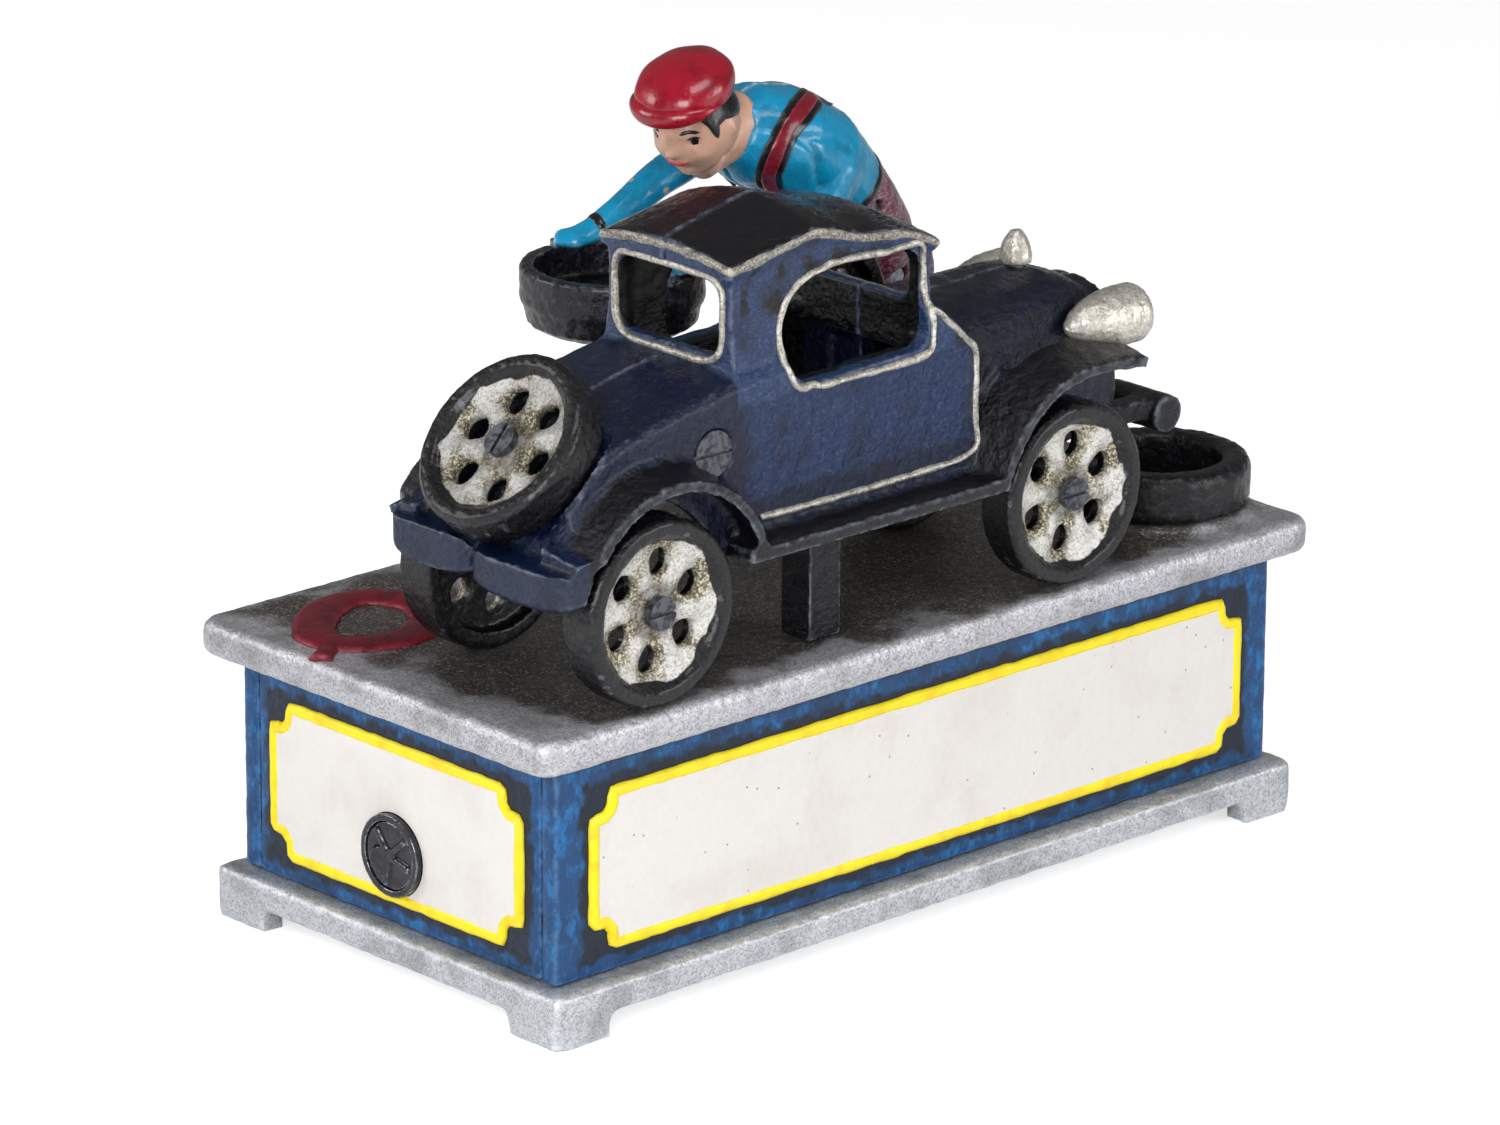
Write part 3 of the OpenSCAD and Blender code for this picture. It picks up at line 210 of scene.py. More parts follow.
class Wire:  # one output of a node: sums, differences, products and abs() of wires become math nodes
    def __init__(self, socket):
        self.socket = socket

    def __add__(self, other):
        return worked("ADD", self, other)

    def __sub__(self, other):
        return worked("SUBTRACT", self, other)

    def __rsub__(self, other):
        return worked("SUBTRACT", other, self)

    def __mul__(self, other):
        return worked("MULTIPLY", self, other)

    def __abs__(self):
        return worked("ABSOLUTE", self)


canvas = {}  # "tree" is the node tree that add() works in


def startTree(owner):  # empties the nodes of a material or of the world
    owner.use_nodes = True
    owner.node_tree.nodes.clear()
    canvas["tree"] = owner.node_tree
    return owner


def add(kind, inputs=None, **settings):  # one node with its settings, values and links; its outputs come as wires
    node = canvas["tree"].nodes.new(kind)
    for key, value in settings.items():
        setattr(node, key, value)
    for key, value in (inputs or {}).items():
        if isinstance(value, Wire):
            canvas["tree"].links.new(value.socket, node.inputs[key])
        else:
            node.inputs[key].default_value = tint(value) if isinstance(value, str) else value
    return {key: Wire(socket) for key, socket in [*enumerate(node.outputs), *node.outputs.items()]}


def worked(operation, *values):
    return add("ShaderNodeMath", dict(enumerate(values)), operation=operation)[0]


def either(*shares):  # the largest of them
    total = shares[0]
    for share in shares[1:]:
        total = worked("MAXIMUM", total, share)
    return total


def mixed(share, first, second):  # the first colour at share 0, the second at share 1
    return add("ShaderNodeMix", {0: share, 6: first, 7: second}, data_type="RGBA")[2]


def between(value, low, high, start=0.0, end=1.0):  # smooth step from start at low to end at high
    return add("ShaderNodeMapRange", {0: value, 1: low, 2: high, 3: start, 4: end}, interpolation_type="SMOOTHSTEP")[0]


def inside(value, low, high, soft=0.5):  # 1 between low and high, with soft edges
    return between(value, low - soft, low + soft) * between(value, high - soft, high + soft, 1.0, 0.0)


def noise(where, size, detail=2.0, rough=0.5):  # lumps of this many mm
    return add("ShaderNodeTexNoise", {"Vector": where, "Scale": 1000.0 / size, "Detail": detail, "Roughness": rough})[0]


def flecks(where, size):  # cells of this many mm: the distance from each one's middle and a number of its own
    cells = add("ShaderNodeTexVoronoi", {"Vector": where, "Scale": 1000.0 / size})
    return cells["Distance"], add("ShaderNodeSeparateColor", {0: cells["Color"]})[0]


def parts(vector):
    split = add("ShaderNodeSeparateXYZ", {0: vector})
    return [split[k] for k in range(3)]


def facing():  # the surface's normal as three numbers
    return parts(add("ShaderNodeNewGeometry")["Normal"])


def spotOf(where):  # the point's place as three numbers in mm from the deck's centre
    x, y, z = (part * 1000.0 for part in parts(where))
    return x - float(home[0]), y, z


def wandering(where, size, amount):
    # a slow noise of plus or minus the amount, so that no painted edge runs dead straight
    return between(noise(where, size), 0.3, 0.7, -amount, amount)


def brushed(where, colour, pale, stretch, size, low, high, share, rough=0.72):
    # dry strokes of a pale colour caught on the grain, long across the stretch's small number
    turned = add("ShaderNodeMapping", {"Vector": where, "Scale": stretch})[0]
    return mixed(between(noise(turned, size, 5.0, rough), low, high, 0.0, share), colour, pale)


film = {"specular": 0.35, "coatRough": 0.14, "grainDepth": 0.0006, "even": -0.07, "uneven": 0.1}


def paint(name, base, dark, light, edge=0.3, blotch=4, grit=0.8, lumps=0.25, pits=0.1, gloss=0.25, coat=0.0,
          metal=0.0, colour=None, streak=None):
    # enamel brushed by hand over a sand casting: even colour with thinner and thicker places, painted shade in the
    # hollows, rubbed or dry-brushed edges, and the grain of the sand standing through the film
    material = startTree(bpy.data.materials.new(name))
    where = add("ShaderNodeTexCoord")["Object"]
    shade, sheltered = colour(where) if colour else (base, 0.0)
    fine, middle = noise(where, grit, 4.0, 0.65), noise(where, grit * 3)
    shade = mixed(between(noise(where, blotch, 3.0), 0.45, 0.72, 0.0, 0.45), shade, dark)
    bend = add("ShaderNodeNewGeometry")["Pointiness"]
    # painted shade: where pointiness is low, in the hollows, the colour goes toward the dark one
    shade = mixed(between(bend, 0.495, 0.44, 0.0, 0.85), shade, dark)
    rubbed = between(bend, 0.515, 0.56, 0.0, edge) * between(middle, 0.35, 0.6, 0.2, 1.0)
    shade = mixed(rubbed * (1.0 - sheltered), shade, light)
    shade = mixed(between(fine, 0.60, 0.72, 0.0, pits), shade, dark)
    if streak:
        shade = brushed(where, shade, *streak, rough=0.7)
    bump = add("ShaderNodeBump", {"Strength": lumps, "Distance": film["grainDepth"], "Height": middle + fine * 0.5})
    shader = add("ShaderNodeBsdfPrincipled", {
        "Base Color": shade, "Metallic": metal, "Specular IOR Level": film["specular"], "Normal": bump[0],
        "Roughness": between(middle, 0.3, 0.7, gloss + film["even"], gloss + film["uneven"]),
        "Coat Weight": coat, "Coat Roughness": film["coatRough"]})
    add("ShaderNodeOutputMaterial", {0: shader[0]})
    return material


# the painted shade on the deck's level top, given to silverPaint as worn
shadedDeckTop = {"x": 97, "y": 46, "stray": 6, "share": 0.95, "colour": "#4c4642", "glint": "#b5aea4"}


def silverPaint(name, base, dark, light, worn=None, metal=0.55, gloss=0.38, grit=0.55):
    # aluminium paint on a rough casting: tiny bright and dull flakes, worn to bright along the edges
    def flakes(where):
        tone = flecks(where, 0.34)[1]
        shade = mixed(between(tone, 0.2, 1.0, 0.0, 0.5), base, light)
        shade = mixed(between(tone, 0.4, 0.0, 0.0, 0.4), shade, dark)
        if worn:
            # painted shade: level faces are dark inside the rectangle x by y, whose edge strays, as a painted dark
            # reflection on a browner silver; its bright flakes are painted glints
            x, y, _ = parts(where)
            far = either(abs(x) - worn["x"] * mm, abs(y) - worn["y"] * mm)
            stray = between(noise(where, 14, 4.0), 0.3, 0.7, -worn["stray"] * mm, worn["stray"] * mm)
            share = between(far + stray, 0.002, -0.006) * between(facing()[2], 0.6, 0.9) * worn["share"]
            glint = mixed(between(tone, 0.75, 1.0, 0.0, 0.8), worn["colour"], worn["glint"])
            shade = mixed(share, shade, glint)
        return shade, 0.0
    return paint(name, base, dark, light, edge=0.8, blotch=9, grit=grit, lumps=0.5, pits=0.45, gloss=gloss,
                 metal=metal, colour=flakes)


# a colour function gives the shade at a point and the share of it that is sheltered from wear
def creamSpecks(where):
    # sparse dark sand pits: the middle of few of the cells of a coarse Voronoi pattern
    distance, chosen = flecks(where, 2.6)
    dot = between(distance, 0.11, 0.06) * between(chosen, 0.62, 0.72)
    return mixed(dot * 0.85, "#dcd8d4", "#4a423c"), 0.0


def wallStrokesAndShade(where):
    # painted shade beside the plaques and a painted shadow under the deck, brighter blue rubbed on the corners
    x, y, z = spotOf(where)
    onEnd = between(abs(facing()[0]), 0.4, 0.6)
    upDown = abs(z - 31.2) - 16.0
    alongSide, alongEnd = either(upDown, abs(x) - 86.0), either(upDown, abs(y) - 36.0)
    away = alongSide * (1.0 - onEnd) + alongEnd * onEnd + wandering(where, 4, 0.9)
    shade = brushed(where, "#0b3f70", "#1776b8", (1, 1, 0.6), 2.4, 0.46, 0.66, 0.7)
    # painted shade beside the plaques, where they stand out from the wall
    shade = mixed(between(away, 2.6, 0.8), shade, "#07162b")
    # painted shadow just under the deck's overhang
    return mixed(between(z, 51.0, 53.0), shade, "#081220"), 0.0


# the car's colours, one for each painted area; the lighter blue of the door and cabin, with their strokes, is a
# painted sheen on the flat sides, the bonnet's blue strokes are a painted highlight, and the inside colour is painted
# shade; an area is a span of x, of the distance from the car's middle and of z in mm, each with its softness, and its
# brush strokes are brushed()'s last six values
carColours = {"navy": "#0b1530", "door": "#152a50", "cabin": "#203459", "bonnet": "#040b20", "black": "#0a080e",
              "apron": "#0a1834", "inside": "#020203", "sill": "#0d1c38", "pale": "#a9b0c0", "post": "#0f1016"}
carAreas = [
    ("door", (-44, 13.2, 3), (18.6, 20.9, 0.2), (93.4, 111.4), ("#4c5a7a", (1, 1, 1), 0.9, 0.5, 0.72, 0.5)),
    ("sill", (-44, 14, 3), (18.6, 20.6, 0.2), (87, 93.4), None),
    ("cabin", (-60, 9), None, (111.6, 141), ("#5d6b8b", (1, 1, 1.5), 0.9, 0.48, 0.7, 0.5)),
    ("bonnet", (15.5, 58.5), None, (98, 125), ("#1d3a70", (0.6, 1, 1), 2.5, 0.55, 0.78, 0.5)),
    ("navy", (-87, -46.6), None, (100, 118), ("#3f4d6c", (0.5, 1, 2), 1.4, 0.52, 0.74, 0.4))]


def carRegions(where):
    x, y, z = spotOf(where)
    stray = wandering(where, 5, 0.5)
    off, zs = abs(y - carMiddle) + stray, z + stray
    normal = facing()
    shade = brushed(where, carColours["navy"], "#2b3a5c", (1, 1, 1), 1.0, 0.52, 0.75, 0.5)
    for area, spanX, spanOff, spanZ, strokes in carAreas:
        here = inside(x, *spanX)
        if spanOff:
            here = here * inside(off, *spanOff)
        here = here * inside(zs, *spanZ)
        shade = mixed(here, shade, brushed(where, carColours[area], *strokes) if strokes else carColours[area])
    rough = brushed(where, carColours["apron"], "#2c4270", (1, 1.4, 1), 0.8, 0.5, 0.7, 0.5)
    shade = mixed(between(x, -87.0, -88.0) * between(z, 94.5, 93.0), shade, rough)
    roofTop = between(zs, 131.5, 132.5) * between(normal[2], 0.35, 0.5)
    boards = between(x, -89.8, -89.0) * between(off, 20.5, 20.9) * between(z, 119, 117)
    wings = between(x, 15.4, 16.4) * between(off, 17.2, 17.6) * between(z, 108.6, 107.6)
    dull = brushed(where, carColours["black"], "#3a3a42", (1, 1, 1), 1.1, 0.57, 0.8, 0.35)
    shade = mixed(either(roofTop, boards, wings, between(x, 57.8, 58.4)), shade, dull)
    frost = brushed(where, dull, carColours["pale"], (0.35, 1.5, 1), 0.55, 0.48, 0.7, 0.8)
    shade = mixed(roofTop * inside(x, -6, 8, 4), shade, frost)
    # painted shade: the cabin's inside and the inner faces of the side walls, which look toward the car's middle (there
    # (y - middle) * normal y is negative), are painted near black and kept from wear
    inward = between((y - carMiddle) * normal[1], -3.0, -6.0) * inside(x, -46, 5)
    shadedCabinInside = either(inside(x, -43.4, 2.8, 0.2) * between(off, 17.0, 16.4), inward) * between(z, 136.6, 136.0)
    shade = mixed(shadedCabinInside, shade, carColours["inside"])
    leg = between(z, 83.2, 82.6) * inside(x, -30, -14) * between(off, 30, 20)
    return mixed(leg, shade, carColours["post"]), shadedCabinInside


def shirtRegions(where):
    # teal above the waist line and maroon below it; the line stands square on the bent back
    x, y, z = spotOf(where)
    along = (x - 37.6) * 0.62 + (z - 124.8) * -0.78
    seatShare = between(along, -0.3, 0.3) * between(x, 20, 24)
    teal = brushed(where, "#0b8fbb", "#7fc6da", (1, 1, 1), 3.5, 0.58, 0.8, 0.5)
    distance, chosen = flecks(where, 2.4)
    chips = between(distance, 0.34, 0.26) * between(chosen, 0.78, 0.82) * inside(x, -5, 8, 1) * between(y, 27, 29)
    teal = mixed(chips, teal, "#c4ab84")
    cloth = brushed(where, "#6a2232", "#a98a9b", (0.7, 1, 1.6), 0.9, 0.46, 0.62, 0.75)
    return mixed(seatShare, teal, cloth), 0.0


def trouserRegions(where):
    cloth = brushed(where, "#5f2030", "#a98a9b", (1, 1, 0.5), 0.9, 0.48, 0.64, 0.6)
    return mixed(between(spotOf(where)[2], 68.2, 67.6), cloth, "#141216"), 0.0


wheel = {"disc": 13.6, "hubZ": 79.1, "front": 35.3, "rear": -71.3, "out": 27.0, "spoke": 52.0, "ridge": 1.4,
         "ridgeWidth": 0.26, "face": (-4.2, -1.0), "hub": 4.5, "rim": 14, "soft": 2.5}


def wheelPlane(axis):
    # two directions square to the wheel's axis, the first one level where the axis is level
    first = unit(np.cross((0, 0, 1) if abs(axis[2]) < 0.3 else (0, 1, 0), axis))
    return first, np.cross(axis, first)


def discPaint(name, centre, axis):
    # silver inside the disc's radius about the wheel's axis, black enamel outside it and on the back; the silver is
    # white on the ridges between the holes as a painted highlight and a speckled old gold in the hollows, darker there
    # as painted shade, by cos(6 (turn - spoke))
    def colour(where):
        hub = tuple((np.array(centre) + home) * mm)
        away = add("ShaderNodeVectorMath", {0: where, 1: hub}, operation="SUBTRACT")[0]
        along, u, v = (add("ShaderNodeVectorMath", {0: away, 1: tuple(way)}, operation="DOT_PRODUCT")["Value"] * 1000.0
                       for way in (axis, *wheelPlane(np.array(axis, float))))
        star = worked("COSINE", (worked("ARCTAN2", v, u) - math.radians(wheel["spoke"])) * 6.0)
        across = worked("SQRT", u * u + v * v) + wandering(where, 4, 0.35)
        disc = between(across - (star * 0.3 + wheel["disc"]), 0.15, -0.15) * between(along, -4.6, -4.0)
        tone = flecks(where, 0.36)[1]
        shadedGold = mixed(between(tone, 0.35, 0.95), "#5d5442", "#cfc8ae")
        # painted highlight: the white for the ridges
        white = mixed(between(tone, 0.0, 0.5, 0.7, 0.0), "#d8d6d2", "#938d7c")
        ridge = star + wandering(where, 5, 1.1) + between(across, 9.5, 12.5, 0.0, 0.7)
        silver = mixed(between(ridge, -0.5, 1.3), shadedGold, white)
        # painted shade: darker toward the hub
        silver = mixed(between(across, 6.4, 4.6) * 0.6, silver, "#4d463a")
        # painted sheen: grey-blue strokes on the black rubber
        rubber = brushed(where, "#0a090d", "#3c4150", (1, 1, 1), 1.6, 0.54, 0.76, 0.35)
        return mixed(disc, rubber, silver), disc
    return paint(name, "#9b968d", "#131214", "#7b7f8a", edge=0.4, blotch=50, grit=0.5, lumps=0.8, pits=0.1, gloss=0.23,
                 coat=0.3, metal=0.15, colour=colour)


finishes = {
    "silverDeck": silverPaint("silver enamel on the deck", "#b5b4ba", "#6a655f", "#e3e4ea", worn=shadedDeckTop),
    "silverBase": silverPaint("silver enamel on the base", "#b6b9be", "#6f7172", "#e6e9ee"),
    "silverTrim": silverPaint("silver paint line", "#9c978c", "#2f2a24", "#ece8de", metal=0.5, gloss=0.3, grit=0.45),
    "lipSilver": silverPaint("worn silver on the roof's lip", "#77726a", "#1e1b18", "#d9d4c8", metal=0.5, gloss=0.32,
                             grit=0.45),
    "lampSilver": silverPaint("bright silver lamp paint", "#d2cdc2", "#6f6756", "#fbf8f0", metal=0.6, gloss=0.28),
    "yellow": paint("yellow enamel", "#f6df12", "#d9a90a", "#fbf06a", blotch=5, pits=0.12, gloss=0.35),
    "crimson": paint("crimson enamel", "#6a0f20", "#2e0610", "#a8485a", edge=0.35, lumps=0.6, pits=0.4, gloss=0.34,
                     coat=0.1),
    "steel": paint("dull screw steel", "#5f646c", "#1c1f24", "#b9bfc8", edge=0.6, blotch=3, grit=0.4, lumps=0.15,
                   pits=0.2, gloss=0.33, metal=0.85),
    "darkSteel": paint("blackened screw steel", "#2b2c31", "#0d0d10", "#80838c", edge=0.5, blotch=3, grit=0.4,
                       lumps=0.15, pits=0.2, gloss=0.35, metal=0.7),
    "red": paint("gloss red enamel", "#9c0f26", "#4a0815", "#c94a5c", blotch=5, grit=1.0, lumps=0.4, pits=0.15,
                 gloss=0.2, coat=0.5),
    "skin": paint("flesh enamel", "#c99e88", "#7d5a4d", "#ecc9b6", lumps=0.3, pits=0.2, gloss=0.35, coat=0.15),
    "hair": paint("black hair enamel", "#121114", "#050505", "#5b5f6b", blotch=3, grit=0.9, lumps=0.5, coat=0.3),
    "cream": paint("cream enamel", "#e6e2de", "#cdc5bd", "#f4f2f0", edge=0.1, blotch=14, grit=0.6, pits=0.25,
                   gloss=0.42, colour=creamSpecks),
    "wallBlue": paint("brushed blue enamel", "#15426c", "#06121f", "#5f88b6", edge=0.6, blotch=9, grit=0.6, lumps=0.35,
                      pits=0.35, gloss=0.36, coat=0.1, colour=wallStrokesAndShade),
    "carPaint": paint("navy and black enamel", "#15213c", "#05070c", "#8f97a6", edge=0.45, blotch=8, grit=0.75,
                      lumps=1.3, pits=0.5, gloss=0.14, coat=0.12, colour=carRegions),
    "shirt": paint("teal and maroon enamel", "#0b8fbb", "#04506c", "#cfeaf2", edge=0.65, blotch=6, grit=0.9, lumps=0.3,
                   gloss=0.26, coat=0.35, colour=shirtRegions),
    "trousers": paint("maroon enamel over black shoes", "#5f2030", "#260a13", "#b9a0ac", edge=0.6, blotch=5, grit=0.6,
                      lumps=0.45, pits=0.3, gloss=0.33, coat=0.1, colour=trouserRegions),
    "tray": paint("black tray enamel", "#121115", "#050406", "#868c9a", edge=0.6, blotch=5, grit=0.7, lumps=0.75,
                  pits=0.2, gloss=0.22, coat=0.25, streak=("#4a4f62", (1, 1, 0.5), 1.6, 0.5, 0.72, 0.4)),
    # the tyre's grey-blue streak is a painted sheen on the black
    "tyre": paint("black tyre enamel", "#100f13", "#040406", "#7b8290", edge=0.5, blotch=5, grit=0.7, lumps=0.75,
                  pits=0.2, gloss=0.15, coat=0.1, streak=("#363a48", (1, 1, 0.6), 1.4, 0.54, 0.74, 0.3)),
    "lock": paint("dark plated lock", "#3a3a40", "#0c0c0e", "#a8abb2", edge=0.8, grit=0.5, lumps=0.1, gloss=0.2,
                  coat=0.2, metal=0.8),
    "blackGloss": paint("black band enamel", "#141317", "#050505", "#6a6d78", edge=0.4, coat=0.3),
    "brace": paint("maroon band enamel", "#7c1626", "#430a15", "#c26676", edge=0.5, pits=0.12, coat=0.35),
    "lip": paint("red lip enamel", "#b0182e", "#700f1e", "#d95a6c", grit=0.9, lumps=0.2, pits=0.05, gloss=0.22,
                 coat=0.4),
    "eye": paint("black eye enamel", "#131114", "#050505", "#4a4a50", edge=0.1, grit=0.9, lumps=0.1, pits=0.0,
                 gloss=0.15, coat=0.5),
    "chip": paint("bare iron gone tan", "#b09a86", "#6e5846", "#e6d6c6", edge=0.4, blotch=1.5, grit=0.5, lumps=0.6,
                  pits=0.4, gloss=0.6)}
print("materials made:", len(finishes))


viewing = {"azimuth": -43.19, "elevation": 18.30, "roll": 0.365, "distance": 1600.0, "focalPixels": 8138.8,
           "pictureWidth": 1500, "sensor": 36.0, "aim": (21.18, 27.02, 49.96)}
swing, rise, roll = (math.radians(viewing[k]) for k in ("azimuth", "elevation", "roll"))
ahead = Vector((-math.sin(swing) * math.cos(rise), math.cos(swing) * math.cos(rise), -math.sin(rise)))
right = Vector((math.cos(swing), math.sin(swing), 0))
up = right.cross(ahead)
pictureRight, pictureUp = right * math.cos(roll) + up * math.sin(roll), up * math.cos(roll) - right * math.sin(roll)
camera = place(bpy.data.objects.new("photographCamera", bpy.data.cameras.new("photographCamera")))
camera.data.sensor_width = viewing["sensor"]
camera.data.sensor_fit = "HORIZONTAL"
camera.data.lens = viewing["focalPixels"] / viewing["pictureWidth"] * viewing["sensor"]
camera.data.clip_end = 100
stand = Matrix.Translation((Vector(viewing["aim"]) + Vector(home) - ahead * viewing["distance"]) * mm)
camera.matrix_world = stand @ Matrix((pictureRight, pictureUp, -ahead)).transposed().to_4x4()
scene.camera = camera
scene.view_settings.view_transform = "Standard"

studio = {"world": 0.24, "glossyWorld": 0.14, "floorLift": 0.62, "floorInGloss": 0.2, "aim": (0, 0, 60), "lamps": [
    ("leftBox", (-660, -440, 330), 380, 4.2), ("frontBox", (380, -780, 320), 420, 3.1),
    ("topBox", (-120, -300, 860), 300, 1.7), ("rearBox", (-560, 520, 380), 360, 2.2)]}
scene.world = startTree(bpy.data.worlds.new("paleRoom"))
rays = add("ShaderNodeLightPath")
level = either(rays["Is Camera Ray"], rays["Is Transmission Ray"], rays["Is Glossy Ray"] * studio["glossyWorld"],
               rays["Is Diffuse Ray"] * studio["world"])
sky = add("ShaderNodeBackground", {"Color": (1, 1, 1, 1), "Strength": level})
add("ShaderNodeOutputWorld", {0: sky[0]})

for lampName, spot, width, power in studio["lamps"]:
    lamp = place(bpy.data.objects.new(lampName, bpy.data.lights.new(lampName, "AREA")))
    lamp.data.shape = "SQUARE"
    lamp.data.size = width * mm
    lamp.data.energy = power
    lamp.location = Vector(spot) * mm
    lamp.rotation_euler = (Vector(studio["aim"]) * mm - lamp.location).to_track_quat("-Z", "Y").to_euler()

# the floor shines a little to the camera, so that it stays pale
tableTop = startTree(bpy.data.materials.new("white table"))
rays = add("ShaderNodeLightPath")
seen = either(rays["Is Camera Ray"], rays["Is Glossy Ray"] * studio["floorInGloss"])
matt = add("ShaderNodeBsdfPrincipled", {"Base Color": "#f4f5f7", "Roughness": 0.6, "Emission Color": (1, 1, 1, 1),
                                        "Emission Strength": seen * studio["floorLift"]})
add("ShaderNodeOutputMaterial", {0: matt[0]})
floorMesh = bpy.data.meshes.new("table")
floorMesh.from_pydata([(-6, -6, 0), (6, -6, 0), (6, 6, 0), (-6, 6, 0)], [], [(0, 1, 2, 3)])
floorMesh.materials.append(tableTop)
floor = place(bpy.data.objects.new("table", floorMesh))
print("camera, lamps and floor made")

# plinth castings: the relief of the walls and of the hose is pressed flat here and built again as painted pieces
case = {"halfLength": 94.0, "halfWidth": 44.5, "deckTop": 60.8, "pressed": 0.05, "margin": 0.02, "underDeck": 53.6,
        "rodX": 54.05, "springRoom": 8, "hoseFrom": (-58, 4)}
pressedTop = case["deckTop"] - case["pressed"]


def flatWalls(p, nv):
    q = p - home
    for axis, half in ((0, case["halfLength"]), (1, case["halfWidth"])):
        q[:, axis] = np.clip(q[:, axis], -half + case["margin"], half - case["margin"])
    return q + home


def flatDeck(p, nv):
    # near the hose the deck is pushed down to its own top, and its underside stays clear of the spring round the rod
    q = p - home
    near = (q[:, 0] < case["hoseFrom"][0]) & (q[:, 1] > case["hoseFrom"][1]) & (q[:, 2] > pressedTop)
    q[near, 2] = pressedTop
    ring = np.hypot(q[:, 0] - case["rodX"], q[:, 1] - figureMiddle) < case["springRoom"]
    ring &= q[:, 2] < case["underDeck"] + 1
    q[ring, 2] = np.maximum(q[ring, 2], case["underDeck"] + case["margin"])
    return q + home


cast("base_plate", "plinth", "silverBase", voxel=1.0, rounds=2, rough=0.2, size=2.2)
cast("deck_plate", "plinth", "silverDeck", voxel=0.95, rounds=2, rough=0.16, size=2.0, shape=flatDeck)
for wall in ("front_panel", "back_panel", "left_end_plate", "right_end_plate"):
    cast(wall, "plinth", "wallBlue", voxel=0.8, rounds=1, rough=0.12, shape=flatWalls)
print("plinth castings made")

footDepth = 0.35  # how far a painted line's foot is sunk into the skin


def ribbon(name, body, points, normals, width, height, finish, closed=False, wobble=0.1):
    # a raised line: half an ellipse (w/2 cos a, h sin a) carried along the path, its foot sunk into the skin
    p, n = np.asarray(points, float), unit(np.asarray(normals, float))
    onward = np.roll(p, -1, 0) - np.roll(p, 1, 0) if closed else np.gradient(p, axis=0)
    sideWay = unit(np.cross(unit(onward), n))
    w = width / 2 * (1 + wobble * grain(p, 2.6, 5)) * np.ones(len(p))
    h = height * (1 + 0.5 * wobble * grain(p, 1.7, 9)) * np.ones(len(p))
    rings = []
    for a in np.linspace(0, math.pi, 9):
        rings.append(p + sideWay * (w * math.cos(a))[:, None] + n * (h * math.sin(a))[:, None])
    for foot in (-0.85, 0.85):
        rings.append(p + sideWay * (w * foot)[:, None] - n * footDepth)
    return surface(name, body, np.stack(rings, axis=1), finish, along=closed)


def skin(*objects):
    # one search tree over the castings, in mm from the deck's centre
    points, faces = [], []
    for obj in objects:
        start = len(points)
        points += [tuple(np.array(v.co) / mm - home) for v in obj.data.vertices]
        faces += [[start + i for i in f.vertices] for f in obj.data.polygons]
    return BVHTree.FromPolygons(points, faces)


def snapped(casting, points, closed=False):
    # a smooth path laid onto the nearest skin, with the skin's normals evened along it
    path = (smoothLoop if closed else smoothLine)(points, 40 * len(points))
    found = [casting.find_nearest(Vector(q))[:2] for q in evenly(path, 0.7, closed)]
    spots, normals = np.array([f[0] for f in found]), np.array([f[1] for f in found])
    for _ in range(4):
        for v in (normals, spots):
            if closed:
                v[:] = (np.roll(v, 1, 0) + 2 * v + np.roll(v, -1, 0)) / 4
            else:
                v[1:-1] = (v[:-2] + 2 * v[1:-1] + v[2:]) / 4
    return spots, unit(normals)


def plate(name, body, outline, holes, toSpace, low, high, finish):
    # a flat plate between two heights, with holes: the outline is filled with triangles, copied and joined by its rims
    b = bmesh.new()
    rims = []
    for loop in (outline, *holes):
        corners = [b.verts.new(Vector(toSpace(u, v, low)) * mm) for u, v in loop]
        rims += [b.edges.new((corners[i], corners[(i + 1) % len(corners)])) for i in range(len(corners))]
    bmesh.ops.triangle_fill(b, edges=rims, use_beauty=True)
    lift = (Vector(toSpace(0, 0, high)) - Vector(toSpace(0, 0, low))) * mm
    grown = bmesh.ops.extrude_face_region(b, geom=b.faces[:])
    bmesh.ops.translate(b, verts=[v for v in grown["geom"] if isinstance(v, bmesh.types.BMVert)], vec=lift)
    bmesh.ops.recalc_face_normals(b, faces=b.faces)
    mesh = bpy.data.meshes.new(name)
    b.to_mesh(mesh)
    b.free()
    return finishPiece(name, body, mesh, finish)


# plaques: a cream field and a yellow border with stepped corners on each wall
plaques = {"notch": 4.8, "middle": 31.2, "height": 32.0, "sideWidth": 172.0, "endWidth": 72.0, "band": 2.5,
           "fieldInset": 2, "fieldFoot": -0.4, "fieldTop": 0.55, "borderFoot": 0.05, "borderTop": 0.92,
           "lock": (0.0, 25.0, 8.25), "lever": (18.8, 25.2, 32.6, 41.3)}


def stepped(width, inset):
    # the plaque's outline: at each corner the edge steps in square to itself, its inner corner cut off a little
    x, z, n = (width - inset) / 2, (plaques["height"] - inset) / 2, plaques["notch"]
    quarter = [(x, z - n), (x - 0.6 * n, z - 0.95 * n), (x - 0.95 * n, z - 0.6 * n), (x - n, z)]
    half = quarter + [(-a, b) for a, b in quarter[::-1]]
    return [(a, b + plaques["middle"]) for a, b in half + [(-a, -b) for a, b in half]]


def circle(u, v, r, count=36):
    return [(u + r * math.cos(2 * math.pi * i / count), v + r * math.sin(2 * math.pi * i / count))
            for i in range(count)]


